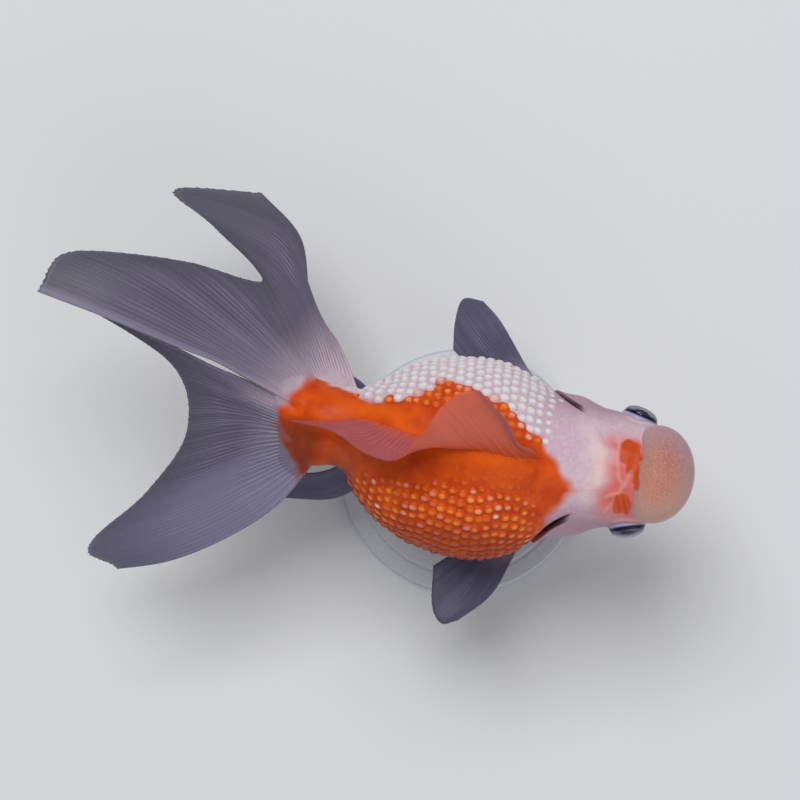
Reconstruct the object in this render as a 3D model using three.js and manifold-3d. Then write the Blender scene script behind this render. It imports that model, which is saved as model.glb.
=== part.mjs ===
// A crown pearlscale goldfish as it swims, life size, on a plain display stand.
// Millimetres. +X is towards the head, +Y is the fish's left, +Z is up and the stand's underside is z = 0.
import * as THREE from "three";
import { mergeVertices } from "three/addons/utils/BufferGeometryUtils.js";
import Module from "manifold-3d";

const wasm = await Module();
wasm.setup();

// ---- Driving dimensions --------------------------------------------------------------------------

const BELLY_HEIGHT = 46; // the belly's centre, and the fish group's origin, above the floor
const GAP = 0.3; // between neighbouring solids
const TRUNK_CELL = 3.5; // grid cell of the trunk's and the tail stalk's facets
const HEAD_CELL = 2.4; // grid cell of the head's and the crown's facets
const SPINE_Y = 1.7; // the head and the tail stalk both lie a little to the left of the belly's centre

const EYE_RADIUS = 4.1;
const EYE_X = 34.9;
const EYE_Z = 2.2;
const EYE_HALF_SPAN = 9.2; // from the head's axis to each eye's centre
const EYE_SKEW = 0.5; // the right eye lies this much further forward, as the head turns left

const LIPS = { x: 45.1, z: -0.8, halfWidth: 2.3, halfHeight: 1.6, roll: 1.3, tilt: 0.3 };
const GILL_COVER = { x: 25, z: -1, radius: 6.9, height: 9, thickness: 1.6, inner: 2.4 }; // height is half its own

const BASE = { x: 2.5, radius: 26, height: 5, bevel: 1.2 };
const BASE_SIDES = 48;
const ROD = { radius: 2.1, sides: 16, places: [-5.5, 10.5] };

const FIN_ROOT_THICKNESS = 1.3;
const FIN_EDGE_THICKNESS = 0.62;
const ROOT_DEPTH = 3; // how far each fin is first drawn into the body, before the body trims it

// ---- Colours -------------------------------------------------------------------------------------

const ORANGE = { color: 0xc8501c, roughness: 0.35, metalness: 0 };
const PALE_SKIN = { color: 0xd6b6c2, roughness: 0.35, metalness: 0 };
const CROWN_SKIN = { color: 0xc08a7c, roughness: 0.3, metalness: 0 };
const FIN_WEB = { color: 0x7d7a96, roughness: 0.45, metalness: 0 };
const EYE_DARK = { color: 0x2a2a42, roughness: 0.1, metalness: 0 };
const PAINTED = { color: 0xb9babd, roughness: 0.55, metalness: 0.2 };
const STEEL = { color: 0xa8aaad, roughness: 0.3, metalness: 1 };

// ---- Solids and meshes ---------------------------------------------------------------------------

function solidFrom(geometry) {
  const bare = new THREE.BufferGeometry();
  bare.setAttribute("position", geometry.getAttribute("position"));
  bare.setIndex(geometry.getIndex());
  const merged = mergeVertices(bare, 1e-4);
  const triVerts = new Uint32Array(merged.index.array);
  const vertProperties = merged.getAttribute("position").array;
  return new wasm.Manifold(new wasm.Mesh({ numProp: 3, vertProperties, triVerts }));
}

function geometryFrom(solid) {
  const { vertProperties, triVerts } = solid.getMesh();
  const geometry = new THREE.BufferGeometry();
  geometry.setAttribute("position", new THREE.BufferAttribute(vertProperties, 3));
  geometry.setIndex(new THREE.BufferAttribute(triVerts, 1));
  geometry.computeVertexNormals();
  return geometry;
}

// The largest of the separate bodies that a cut has left.
function largest(solid) {
  const bodies = solid.decompose();
  return bodies.reduce((best, body) => (body.volume() > best.volume() ? body : best));
}

function addMesh(group, name, geometry, look) {
  const mesh = new THREE.Mesh(geometry, new THREE.MeshStandardMaterial(look));
  mesh.name = name;
  group.add(mesh);
  return mesh;
}

// A box so large that only its one face, through the point and square to the normal, matters.
function halfSpace(point, normal) {
  const size = 300;
  const box = new THREE.BoxGeometry(size, size, size).translate(size / 2, 0, 0);
  const turn = new THREE.Quaternion().setFromUnitVectors(
    new THREE.Vector3(1, 0, 0),
    new THREE.Vector3(...normal).normalize(),
  );
  return solidFrom(box.applyQuaternion(turn).translate(...point));
}

// ---- Rounded forms as distance fields -------------------------------------------------------------

// An egg: an ellipsoid whose radii may differ ahead, behind, above and below.
function egg({ at, ahead, behind = ahead, wide, up, down = up }) {
  return ([x, y, z]) => {
    const rx = x > at[0] ? ahead : behind;
    const rz = z > at[2] ? up : down;
    const p = [(x - at[0]) / rx, (y - at[1]) / wide, (z - at[2]) / rz];
    const scaled = Math.hypot(...p);
    const slope = Math.hypot(p[0] / rx, p[1] / wide, p[2] / rz);
    return slope > 0 ? (scaled * (scaled - 1)) / slope : -Math.min(rx, wide, rz);
  };
}

// Two fields joined, with a fillet of about the blend's size along the join.
function blend(a, b, size) {
  const near = Math.max(size - Math.abs(a - b), 0) / size;
  return Math.min(a, b) - (near * near * size) / 4;
}

// A value at x from a few stations [x, value], smooth between them.
function along(stations, x) {
  const last = stations.length - 1;
  if (x <= stations[0][0]) return stations[0][1];
  if (x >= stations[last][0]) return stations[last][1];
  const i = stations.findIndex((s) => s[0] > x) - 1;
  const [x0, v0] = stations[i];
  const [x1, v1] = stations[i + 1];
  const slope = (k) => {
    if (k <= 0 || k >= last) return 0;
    return (stations[k + 1][1] - stations[k - 1][1]) / (stations[k + 1][0] - stations[k - 1][0]);
  };
  const t = (x - x0) / (x1 - x0);
  const h = x1 - x0;
  const rise = t * t * (3 - 2 * t);
  return v0 + (v1 - v0) * rise + h * t * (1 - t) * ((1 - t) * slope(i) - t * slope(i + 1));
}

// The back's ridge, which narrows into the tail stalk: its axis and half sizes from tail to nape.
const STALK = {
  y: [[-34, 2.6], [-23, 3.1], [-14, 2.3], [0, 0.8], [16, 0.6]],
  z: [[-34, 5], [-23, 4.4], [-12, 7.6], [4, 9.2], [16, 7.5]],
  wide: [[-34, 3.2], [-29, 5.6], [-23, 5.9], [-12, 8.6], [4, 7.6], [16, 5.5]],
  high: [[-34, 3.2], [-29, 6], [-23, 7], [-12, 9.4], [4, 12.4], [16, 10]],
  squareness: 2.5,
  ends: [-34, 16],
};

function stalk([x, y, z]) {
  const wide = along(STALK.wide, x);
  const high = along(STALK.high, x);
  const dy = Math.abs(y - along(STALK.y, x)) / wide;
  const dz = Math.abs(z - along(STALK.z, x)) / high;
  const n = STALK.squareness;
  const side = ((dy ** n + dz ** n) ** (1 / n) - 1) * Math.min(wide, high);
  const end = Math.max(STALK.ends[0] - x, x - STALK.ends[1]);
  return -blend(-side, -end, 3);
}

// Each form of the body, with the size of the fillet that joins it to the forms before it.
const BODY_FORMS = [
  [egg({ at: [4, -0.1, 0], ahead: 20, behind: 26.8, wide: 20.3, up: 20.2, down: 22.3 }), 1], // belly
  [stalk, 3],
  [egg({ at: [-27, 6.6, 2.4], ahead: 7, behind: 5.5, wide: 3.8, up: 5, down: 5.2 }), 3], // left tail root
  [egg({ at: [-28, -1.6, 1.8], ahead: 6, behind: 5, wide: 5.2, up: 4.2, down: 4.2 }), 3], // right tail root
  [egg({ at: [21, SPINE_Y - 0.3, 1.4], ahead: 11, behind: 12, wide: 12.2, up: 12.6, down: 12 }), 6], // neck
  [egg({ at: [31.5, SPINE_Y, 2], ahead: 11.5, behind: 12, wide: 11.7, up: 9.6, down: 9.2 }), 4], // skull
  [egg({ at: [34.8, SPINE_Y - 0.2, 5.4], ahead: 4.4, behind: 7.5, wide: 8.2, up: 7, down: 6 }), 3], // brow
  [egg({ at: [39.5, SPINE_Y, 0.4], ahead: 5.6, behind: 8, wide: 7.4, up: 6, down: 6.4 }), 3], // snout
  [egg({ at: [42, SPINE_Y, -0.9], ahead: 3.3, behind: 5, wide: 4.8, up: 3.6, down: 4.2 }), 3], // jaws
  [egg({ at: [22, 7, -1.6], ahead: 8, behind: 5, wide: 8.7, up: 7.2, down: 7.2 }), 2], // left gill cover
  [egg({ at: [23, -4.6, -1.6], ahead: 8, behind: 5, wide: 8.2, up: 7.2, down: 7.2 }), 2], // right gill cover
];

function bodyField(p) {
  return BODY_FORMS.reduce((d, [form, fillet]) => blend(d, form(p), fillet), 1e3);
}

const CROWN = egg({ at: [39.4, 1.4, 9], ahead: 7.7, behind: 5, wide: 9.8, up: 6.8, down: 6.4 });

// A closed mesh of the surface where the field has the given level. Each grid cell that the surface
// crosses gets one vertex, pulled onto the surface, and each grid edge that it crosses gets one quad.
function surfaceOf(field, { low, high, cell, level = 0 }) {
  const count = low.map((v, axis) => Math.ceil((high[axis] - v) / cell) + 1);
  const point = (i, j, k) => [low[0] + i * cell, low[1] + j * cell, low[2] + k * cell];
  const index = (i, j, k) => (k * count[1] + j) * count[0] + i;
  const f = (p) => field(p) - level;
  const value = new Float64Array(count[0] * count[1] * count[2]);
  for (let k = 0; k < count[2]; k++)
    for (let j = 0; j < count[1]; j++)
      for (let i = 0; i < count[0]; i++) value[index(i, j, k)] = f(point(i, j, k));

  const onto = (p) => {
    const step = 0.05;
    for (let n = 0; n < 4; n++) {
      const d = f(p);
      const slope = [0, 1, 2].map((a) => {
        const q = p.slice();
        q[a] += step;
        return (f(q) - d) / step;
      });
      const size = slope.reduce((sum, s) => sum + s * s, 0);
      p = p.map((v, a) => v - Math.max(-cell, Math.min(cell, (d * slope[a]) / size)));
    }
    return p;
  };

  const vertices = [];
  const cellVertex = new Map();
  const vertexOf = (i, j, k) => {
    const key = index(i, j, k);
    if (!cellVertex.has(key)) {
      const sum = [0, 0, 0];
      let crossings = 0;
      for (let a = 0; a < 3; a++)
        for (let corner = 0; corner < 4; corner++) {
          const from = [i, j, k];
          from[(a + 1) % 3] += corner & 1;
          from[(a + 2) % 3] += corner >> 1;
          const to = from.slice();
          to[a] += 1;
          const [v0, v1] = [value[index(...from)], value[index(...to)]];
          if (v0 < 0 === v1 < 0) continue;
          const p = point(...from);
          p[a] += (cell * v0) / (v0 - v1);
          p.forEach((v, axis) => (sum[axis] += v));
          crossings += 1;
        }
      cellVertex.set(key, vertices.length / 3);
      vertices.push(...onto(sum.map((v) => v / crossings)));
    }
    return cellVertex.get(key);
  };

  const triangles = [];
  for (let k = 1; k < count[2] - 1; k++)
    for (let j = 1; j < count[1] - 1; j++)
      for (let i = 1; i < count[0] - 1; i++)
        for (let a = 0; a < 3; a++) {
          const to = [i, j, k];
          to[a] += 1;
          const inside = value[index(i, j, k)] < 0;
          if (inside === value[index(...to)] < 0) continue;
          const quad = [[1, 1], [0, 1], [0, 0], [1, 0]].map(([b, c]) => {
            const from = [i, j, k];
            from[(a + 1) % 3] -= b;
            from[(a + 2) % 3] -= c;
            return vertexOf(...from);
          });
          if (!inside) quad.reverse();
          triangles.push(quad[0], quad[1], quad[2], quad[0], quad[2], quad[3]);
        }

  const geometry = new THREE.BufferGeometry();
  geometry.setAttribute("position", new THREE.BufferAttribute(new Float32Array(vertices), 3));
  geometry.setIndex(triangles);
  return geometry;
}

// ---- Fins ----------------------------------------------------------------------------------------

// A point at t in 0..1 on the smooth curve through the points.
function curveAt(points, t) {
  const curve = new THREE.CatmullRomCurve3(
    points.map((p) => (p.isVector3 ? p : new THREE.Vector3(...p))),
    false,
    "catmullrom",
    0.5,
  );
  return curve.getPoint(t);
}

// A fin's sheet from a few of its rays, each a curve from root to edge: a grid of points.
function sheetFrom({ rays, across, down }) {
  const rooted = rays.map((ray) => {
    const [first, second] = ray.map((p) => new THREE.Vector3(...p));
    const inward = first.clone().sub(second).setLength(ROOT_DEPTH);
    return [first.clone().add(inward), ...ray.map((p) => new THREE.Vector3(...p))];
  });
  const sheet = [];
  for (let i = 0; i <= across; i++) {
    const row = [];
    for (let j = 0; j <= down; j++) {
      const ring = rooted.map((ray) => curveAt(ray, j / down));
      row.push(curveAt(ring, i / across));
    }
    sheet.push(row);
  }
  return sheet;
}

// One side of a sheet drawn back from its neighbour by a gap.
function drawBack(row, neighbour) {
  row.forEach((p, j) => p.add(neighbour[j].clone().sub(p).setLength(GAP)));
}

// A closed solid round a sheet, thick at the root and thin at the edge.
function finFrom(sheet) {
  const across = sheet.length - 1;
  const down = sheet[0].length - 1;
  const clamp = (v, most) => Math.max(0, Math.min(most, v));
  const vertices = [];
  for (const side of [1, -1])
    for (let i = 0; i <= across; i++)
      for (let j = 0; j <= down; j++) {
        const u = sheet[clamp(i + 1, across)][j].clone().sub(sheet[clamp(i - 1, across)][j]);
        const v = sheet[i][clamp(j + 1, down)].clone().sub(sheet[i][clamp(j - 1, down)]);
        const normal = u.cross(v).normalize();
        const thickness = THREE.MathUtils.lerp(FIN_ROOT_THICKNESS, FIN_EDGE_THICKNESS, (j / down) ** 0.6);
        vertices.push(...sheet[i][j].clone().addScaledVector(normal, (side * thickness) / 2).toArray());
      }
  const layer = (across + 1) * (down + 1);
  const id = (i, j, side) => side * layer + i * (down + 1) + j;
  const triangles = [];
  const quad = (a, b, c, d) => triangles.push(a, b, c, a, c, d);
  for (let i = 0; i < across; i++)
    for (let j = 0; j < down; j++) {
      quad(id(i, j, 0), id(i + 1, j, 0), id(i + 1, j + 1, 0), id(i, j + 1, 0));
      quad(id(i, j, 1), id(i, j + 1, 1), id(i + 1, j + 1, 1), id(i + 1, j, 1));
    }
  for (let i = 0; i < across; i++) {
    quad(id(i, 0, 1), id(i + 1, 0, 1), id(i + 1, 0, 0), id(i, 0, 0));
    quad(id(i, down, 0), id(i + 1, down, 0), id(i + 1, down, 1), id(i, down, 1));
  }
  for (let j = 0; j < down; j++) {
    quad(id(0, j, 0), id(0, j + 1, 0), id(0, j + 1, 1), id(0, j, 1));
    quad(id(across, j, 1), id(across, j + 1, 1), id(across, j + 1, 0), id(across, j, 0));
  }
  const geometry = new THREE.BufferGeometry();
  geometry.setAttribute("position", new THREE.BufferAttribute(new Float32Array(vertices), 3));
  geometry.setIndex(triangles);
  return solidFrom(geometry);
}

// Each fin's rays, from its leading edge back, in the fish's frame.
const DORSAL = [
  [[15, 1.5, 18.5], [11.5, 2, 25], [8, 6, 33], [2.5, 10, 38]],
  [[10.5, 0.5, 20], [7, 3, 27], [3, 6.5, 33.5], [-1, 9, 38]],
  [[5, 0.5, 20.5], [2, 1, 26], [-1, 3, 32], [-4.5, 5.5, 36]],
  [[0, 0.5, 20], [-2.5, -0.5, 25], [-5, -0.5, 29.5], [-7, 0.5, 33]],
  [[-5, 1, 18.5], [-7, -0.5, 22.5], [-9, -2.5, 26], [-11, -4.5, 29]],
  [[-10, 2.5, 16], [-12, 0.5, 19], [-14, -2, 22], [-17, -4, 24.5]],
  [[-14, 3, 14], [-16.5, 2, 16], [-20, 0.5, 18], [-25, 0, 19]],
  [[-16.5, 3.5, 12.5], [-20.5, 3, 13.5], [-25.5, 2, 14.5], [-33, 1, 15]],
];

// The left half of the tail: its upper lobe's inner edge comes first, its lower lobe's leading edge last.
const TAIL_LEFT = [
  [[-32.5, 5.5, 8], [-44, 8.6, 12.5], [-58.5, 12.1, 16.5], [-73, 15.5, 19.5], [-85, 18.1, 21]],
  [[-31.5, 7, 7], [-43.5, 13, 11.5], [-56, 19, 15], [-68.5, 24, 17.5], [-80, 27, 19]],
  [[-30, 8.5, 6], [-36.5, 15, 8.5], [-44, 21, 10.5], [-51, 26, 11.5], [-58, 29, 12]],
  [[-29.5, 9, 5], [-33, 14, 5.5], [-36.5, 19, 5.5], [-40, 24, 5.5], [-43, 28.5, 5]],
  [[-27.5, 9.5, 2.5], [-31.5, 17.5, 1], [-36, 26.5, -1], [-44, 33.5, -2.5], [-54.5, 38.5, -3]],
  [[-25, 9.5, 0], [-30, 20.5, -2.5], [-35.5, 32, -5], [-43, 41.5, -6.5], [-64.5, 45.5, -6]],
  [[-21, 9, -3], [-26.5, 19, -6], [-33.5, 27, -8], [-37.5, 40, -9.5], [-47, 48, -9]],
];
const LEFT_FORK = 3; // the ray at the fork, which both left lobes share

const TAIL_RIGHT = [
  [[-33.5, 3.5, 7.2], [-44.5, 8, 10.2], [-57, 11.7, 12.6], [-68.5, 15.1, 14], [-80, 18.2, 15.3]],
  [[-34, 2.5, 6.5], [-40.5, 4, 8], [-47, 6, 9], [-53, 8, 9.5], [-58.5, 9.5, 9.5]],
  [[-33.5, 0, 5], [-39, 0, 5], [-44, -0.5, 4.5], [-48.5, -1.5, 4], [-53.5, -3, 3.5]],
  [[-32.5, -2.5, 3], [-40, -6, 1.5], [-46.5, -9.5, 0], [-53, -13, -1.5], [-60, -16, -3]],
  [[-31, -4.5, 0.5], [-40, -11, -2.5], [-50, -17.5, -5.5], [-60, -23, -8], [-70.5, -28, -10]],
  [[-28, -5.5, -2], [-34, -15, -5.5], [-43.5, -23, -9], [-55, -29.5, -12], [-68, -33, -14]],
];
const RIGHT_FORK = 2;

const PECTORAL_LEFT = [
  [[16, 15.5, -8], [11.5, 21, -9.5], [5.5, 29, -11], [1, 33, -12]],
  [[14.5, 15.5, -9.5], [9, 20.5, -11], [2, 28, -12.5], [-3, 33, -13.5]],
  [[13, 15.5, -11], [6, 19.5, -12.5], [0, 24, -13.5], [-4, 28.5, -14.5]],
  [[11.5, 15, -12.5], [5, 18, -13.5], [0, 20, -14.5], [-3.5, 22.5, -15]],
];
const PECTORAL_RIGHT = [
  [[17, -12.5, -8], [14.5, -18.5, -9.5], [11.5, -26, -11], [5.5, -32.5, -12]],
  [[15.5, -12.5, -9.5], [11.5, -19.5, -11], [7.5, -27.5, -12.5], [2.5, -33.5, -13.5]],
  [[14.5, -12, -11], [9, -18, -12.5], [4, -25, -13.5], [0, -30, -14.5]],
  [[13, -12, -12.5], [7, -15.5, -13.5], [2.5, -19, -14.5], [-1, -22, -15]],
];
const PELVIC_LEFT = [
  [[11, 6.5, -19.5], [7.5, 10, -23.5], [2.5, 13.5, -26.5], [-2.5, 15.5, -28]],
  [[9.5, 5.8, -20], [5, 9, -24], [-0.5, 12, -27], [-6, 13.5, -28.5]],
  [[8, 5, -20.5], [3.5, 7.5, -24], [-1.5, 9.5, -26.5], [-6, 10.5, -27.5]],
];
const ANAL_RIGHT = [
  [[-12, -1, -13], [-17, -7, -15.5], [-23.5, -11.5, -16.5], [-33, -12.4, -17]],
  [[-14.5, -0.5, -11], [-20, -5.5, -13.5], [-26.5, -9.5, -14.5], [-35.5, -11, -15]],
  [[-18, 0, -7.5], [-22, -4.2, -10], [-26.5, -6.8, -11], [-32.5, -7.8, -11.5]],
];
const ANAL_MIDDLE = 1.3; // the anal fins' middle plane lies towards the tail stalk's

// The same rays on the other side of the fish's middle plane.
function mirrored(rays, middle) {
  return rays.map((ray) => ray.map(([x, y, z]) => [x, 2 * middle - y, z]));
}

// ---- The fish ------------------------------------------------------------------------------------

const fish = new THREE.Group();
fish.position.z = BELLY_HEIGHT;

const BODY_BOX = { low: [-40, -26, -28], high: [52, 27, 28] };
const FRONT_START = 12; // the finely faceted front of the body is closed here, well behind the neck's cut
const COVER_DEPTH = GILL_COVER.thickness;

function frontField(p) {
  return Math.max(bodyField(p), FRONT_START - p[0]);
}

function bodySolid(field, cell, level = 0) {
  return solidFrom(surfaceOf(field, { ...BODY_BOX, cell, level }));
}

const body = bodySolid(bodyField, TRUNK_CELL);
const front = bodySolid(frontField, HEAD_CELL);
const bodyAndGap = bodySolid(bodyField, HEAD_CELL, GAP);
const underCovers = bodySolid(bodyField, TRUNK_CELL, -COVER_DEPTH);
const belowCovers = bodySolid(bodyField, TRUNK_CELL, -COVER_DEPTH - GAP);

const SIDES = { left: 1, right: -1 };

function eyeball(side, radius) {
  const forward = side < 0 ? EYE_SKEW : 0;
  const ball = new THREE.IcosahedronGeometry(radius, 2);
  return solidFrom(ball.translate(EYE_X + forward, SPINE_Y + side * EYE_HALF_SPAN, EYE_Z));
}

// A short oval bar through one side of the head, square to the side, which marks out the gill cover.
function gillBar(side, margin) {
  const length = 30;
  const bar = new THREE.CylinderGeometry(1, 1, length, 28);
  bar.scale(GILL_COVER.radius + margin, 1, GILL_COVER.height + margin);
  const middle = SPINE_Y + side * (GILL_COVER.inner + length / 2);
  return solidFrom(bar.translate(GILL_COVER.x, middle, GILL_COVER.z));
}

let hollows = null; // the room that the eyes and the gill covers take up
for (const [name, side] of Object.entries(SIDES)) {
  const socket = eyeball(side, EYE_RADIUS + GAP);
  const cover = front.intersect(gillBar(side, 0)).subtract(underCovers).subtract(socket);
  addMesh(fish, "gill_cover_" + name, geometryFrom(largest(cover)), PALE_SKIN);
  addMesh(fish, "eye_" + name, geometryFrom(eyeball(side, EYE_RADIUS)), EYE_DARK);
  const hollow = socket.add(gillBar(side, GAP).subtract(belowCovers));
  hollows = hollows ? hollows.add(hollow) : hollow;
}

// The thin cuts behind the gills and where the belly ends in the tail stalk.
const NECK_CUT = { at: [24.5, 0, 0], facing: [1, 0.06, 0.12] };
const STALK_CUT = { at: [-21.5, 3, 2], facing: [-0.9, 0, 0.43] };

function beyond({ at, facing }, shift) {
  const normal = new THREE.Vector3(...facing).normalize();
  return halfSpace(new THREE.Vector3(...at).addScaledVector(normal, shift).toArray(), facing);
}

const head = front.intersect(beyond(NECK_CUT, GAP / 2)).subtract(hollows);
const tailStalk = body.intersect(beyond(STALK_CUT, GAP / 2));
const trunk = body
  .subtract(beyond(NECK_CUT, -GAP / 2))
  .subtract(beyond(STALK_CUT, -GAP / 2))
  .subtract(hollows);
addMesh(fish, "head", geometryFrom(largest(head)), PALE_SKIN);
addMesh(fish, "trunk", geometryFrom(largest(trunk)), ORANGE);
addMesh(fish, "tail_stalk", geometryFrom(largest(tailStalk)), ORANGE);

const CROWN_BOX = { low: [27, -12, 0], high: [51, 15, 20], cell: HEAD_CELL };
const crown = solidFrom(surfaceOf(CROWN, CROWN_BOX)).subtract(bodyAndGap).subtract(hollows);
addMesh(fish, "crown", geometryFrom(largest(crown)), CROWN_SKIN);

// The lips are one soft ring round the small mouth, seated on the jaws.
function lipRing() {
  const { x, z, halfWidth, halfHeight, roll, tilt } = LIPS;
  const ring = new THREE.TorusGeometry(halfWidth, roll, 8, 20);
  ring.applyMatrix4(new THREE.Matrix4().makeScale(1, halfHeight / halfWidth, 1));
  ring.rotateX(Math.PI / 2).rotateZ(Math.PI / 2).rotateY(tilt).translate(x, SPINE_Y, z);
  return solidFrom(ring);
}

addMesh(fish, "lips", geometryFrom(largest(lipRing().subtract(bodyAndGap))), PALE_SKIN);

// A fin with its root trimmed by the body.
function addFin(name, sheet) {
  addMesh(fish, name, geometryFrom(largest(finFrom(sheet).subtract(bodyAndGap))), FIN_WEB);
}

// Half of the tail: one sheet, parted along the ray at its fork.
function addTailHalf(side, rays, fork) {
  const upper = sheetFrom({ rays: rays.slice(0, fork + 1), across: 7, down: 11 });
  const lower = sheetFrom({ rays: rays.slice(fork), across: 7, down: 11 });
  drawBack(upper.at(-1), upper.at(-2));
  drawBack(lower[0], lower[1]);
  addFin("tail_upper_" + side, upper);
  addFin("tail_lower_" + side, lower);
}

addFin("dorsal_fin", sheetFrom({ rays: DORSAL, across: 16, down: 6 }));
addTailHalf("left", TAIL_LEFT, LEFT_FORK);
addTailHalf("right", TAIL_RIGHT, RIGHT_FORK);
addFin("pectoral_fin_left", sheetFrom({ rays: PECTORAL_LEFT, across: 6, down: 6 }));
addFin("pectoral_fin_right", sheetFrom({ rays: PECTORAL_RIGHT, across: 6, down: 6 }));
addFin("pelvic_fin_left", sheetFrom({ rays: PELVIC_LEFT, across: 4, down: 5 }));
addFin("pelvic_fin_right", sheetFrom({ rays: mirrored(PELVIC_LEFT, 0), across: 4, down: 5 }));
addFin("anal_fin_left", sheetFrom({ rays: mirrored(ANAL_RIGHT, ANAL_MIDDLE), across: 4, down: 6 }));
addFin("anal_fin_right", sheetFrom({ rays: ANAL_RIGHT, across: 4, down: 6 }));

// ---- The stand -----------------------------------------------------------------------------------

const stand = new THREE.Group();

function standBase() {
  const { radius, height, bevel } = BASE;
  const profile = [
    [0, 0],
    [radius, 0],
    [radius, height - bevel],
    [radius - bevel, height],
    [0, height],
  ];
  const base = new THREE.LatheGeometry(profile.map(([r, z]) => new THREE.Vector2(r, z)), BASE_SIDES);
  return base.rotateY(Math.PI / BASE_SIDES).rotateX(Math.PI / 2).translate(BASE.x, 0, 0);
}

// A rod from just above the base to just under the belly, whose curve trims its top.
function standRod(x) {
  const foot = BASE.height + GAP;
  const length = BELLY_HEIGHT - foot;
  const rod = new THREE.CylinderGeometry(ROD.radius, ROD.radius, length, ROD.sides);
  rod.rotateX(Math.PI / 2).translate(x, 0, foot + length / 2);
  return geometryFrom(largest(solidFrom(rod).subtract(bodyAndGap.translate([0, 0, BELLY_HEIGHT]))));
}

addMesh(stand, "stand_base", standBase(), PAINTED);
addMesh(stand, "stand_rod_rear", standRod(ROD.places[0]), STEEL);
addMesh(stand, "stand_rod_front", standRod(ROD.places[1]), STEEL);

const group = new THREE.Group();
group.add(fish, stand);

export default group;
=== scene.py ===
# %% [markdown]
# # A crown pearlscale goldfish on a display stand
# The real fish is a round goldfish. Each scale of its egg-shaped body carries a hard, pearl-like dome, its
# head carries a soft fleshy crown, and its long tail is parted down the middle. The lesson builds it life
# size in metres, in the frame of its CAD model: +X is towards the head, +Y is the fish's left and +Z is up.

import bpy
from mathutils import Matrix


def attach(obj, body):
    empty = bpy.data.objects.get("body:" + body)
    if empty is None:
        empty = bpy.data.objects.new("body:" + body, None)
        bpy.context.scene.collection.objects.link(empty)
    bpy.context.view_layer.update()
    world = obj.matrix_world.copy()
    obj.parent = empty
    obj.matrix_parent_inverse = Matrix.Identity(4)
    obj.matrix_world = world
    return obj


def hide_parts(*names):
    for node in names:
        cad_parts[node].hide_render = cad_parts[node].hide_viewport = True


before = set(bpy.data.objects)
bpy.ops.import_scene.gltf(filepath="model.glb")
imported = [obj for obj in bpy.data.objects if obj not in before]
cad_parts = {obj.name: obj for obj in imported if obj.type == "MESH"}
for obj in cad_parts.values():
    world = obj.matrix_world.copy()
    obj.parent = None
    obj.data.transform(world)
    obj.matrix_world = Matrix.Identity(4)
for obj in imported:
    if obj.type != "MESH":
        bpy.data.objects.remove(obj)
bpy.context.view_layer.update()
print("CAD nodes:", len(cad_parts))

# %% Units, and the fish's own origin
import math

import bpy
import numpy as np
from mathutils import Vector
from mathutils.bvhtree import BVHTree
from mathutils.kdtree import KDTree

MM = 0.001
BELLY_HEIGHT = 46  # the belly's centre above the floor, which the places below are measured from
BELLY = np.array([0, 0, BELLY_HEIGHT])
SPINE_Y = 1.7  # the head and the tail stalk lie a little to the left of the belly's centre


def paint(red, green, blue):
    """A colour named by its everyday 0 to 255 values, as the linear light that a shader works in."""
    values = [v / 255 for v in (red, green, blue)]
    return (*[v / 12.92 if v < 0.0404 else ((v + 0.055) / 1.055) ** 2.4 for v in values], 1)


# %% [markdown]
# ## Camera, floor and light
# The fish is seen almost from above, turned a little anticlockwise, through a long lens that keeps the
# outline free of wide-angle stretch. A camera could be keyframed or tracked to an empty. Here its place is
# worked out once from two angles and a distance, so the framing is easy to read and to change.

# %% The camera
AZIMUTH = math.radians(8.5)
ELEVATION = math.radians(85)
DISTANCE = 600
TARGET = (-12.5, 9.3, BELLY_HEIGHT)

away = Vector((
    math.sin(AZIMUTH) * math.cos(ELEVATION),
    -math.cos(AZIMUTH) * math.cos(ELEVATION),
    math.sin(ELEVATION),
))
bpy.ops.object.camera_add(location=(Vector(TARGET) + away * DISTANCE) * MM)
camera = bpy.context.object
camera.rotation_euler = away.to_track_quat("Z", "Y").to_euler()
camera.data.lens = 135
camera.data.sensor_width = 36
camera.data.clip_start = 0.01
bpy.context.scene.camera = camera
print("camera height, m:", round(camera.location.z, 3))

# %% [markdown]
# The floor is plain and pale. A flat plane would end in a hard horizon when the fish is seen from the side,
# so the floor is a wide dish whose edge curves up into a wall, like a studio's paper sweep. Studio light is
# soft because its source is large for its distance: the key is a broad panel high on the fish's left, with
# a wider, weaker panel opposite and an even grey sky to open the shadows.

# %% A floor that sweeps up into a wall
FLOOR_RADIUS = 2.2
SWEEP_RADIUS = 1.2
SWEEP_STEPS = 10

bpy.ops.mesh.primitive_circle_add(vertices=96, radius=FLOOR_RADIUS, fill_type="NGON")
floor = bpy.context.object
floor.name = "floor"
bpy.ops.object.mode_set(mode="EDIT")
bpy.ops.mesh.select_mode(type="EDGE")
bpy.ops.mesh.select_all(action="SELECT")
rim_radius, rim_height = FLOOR_RADIUS, 0.0
for step in range(1, SWEEP_STEPS + 1):
    lean = math.radians(90 * step / SWEEP_STEPS)
    next_radius = FLOOR_RADIUS + SWEEP_RADIUS * math.sin(lean)
    next_height = SWEEP_RADIUS * (1 - math.cos(lean))
    bpy.ops.mesh.extrude_edges_move(TRANSFORM_OT_translate={"value": (0, 0, next_height - rim_height)})
    bpy.ops.transform.resize(value=(next_radius / rim_radius, next_radius / rim_radius, 1))
    rim_radius, rim_height = next_radius, next_height
bpy.ops.mesh.select_all(action="SELECT")
bpy.ops.mesh.normals_make_consistent(inside=True)
bpy.ops.object.mode_set(mode="OBJECT")
bpy.ops.object.shade_smooth()
paper = bpy.data.materials.new("pale_paper")
paper.use_nodes = True
paper.node_tree.nodes["Principled BSDF"].inputs["Base Color"].default_value = (0.66, 0.665, 0.68, 1)
paper.node_tree.nodes["Principled BSDF"].inputs["Roughness"].default_value = 0.9
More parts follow.
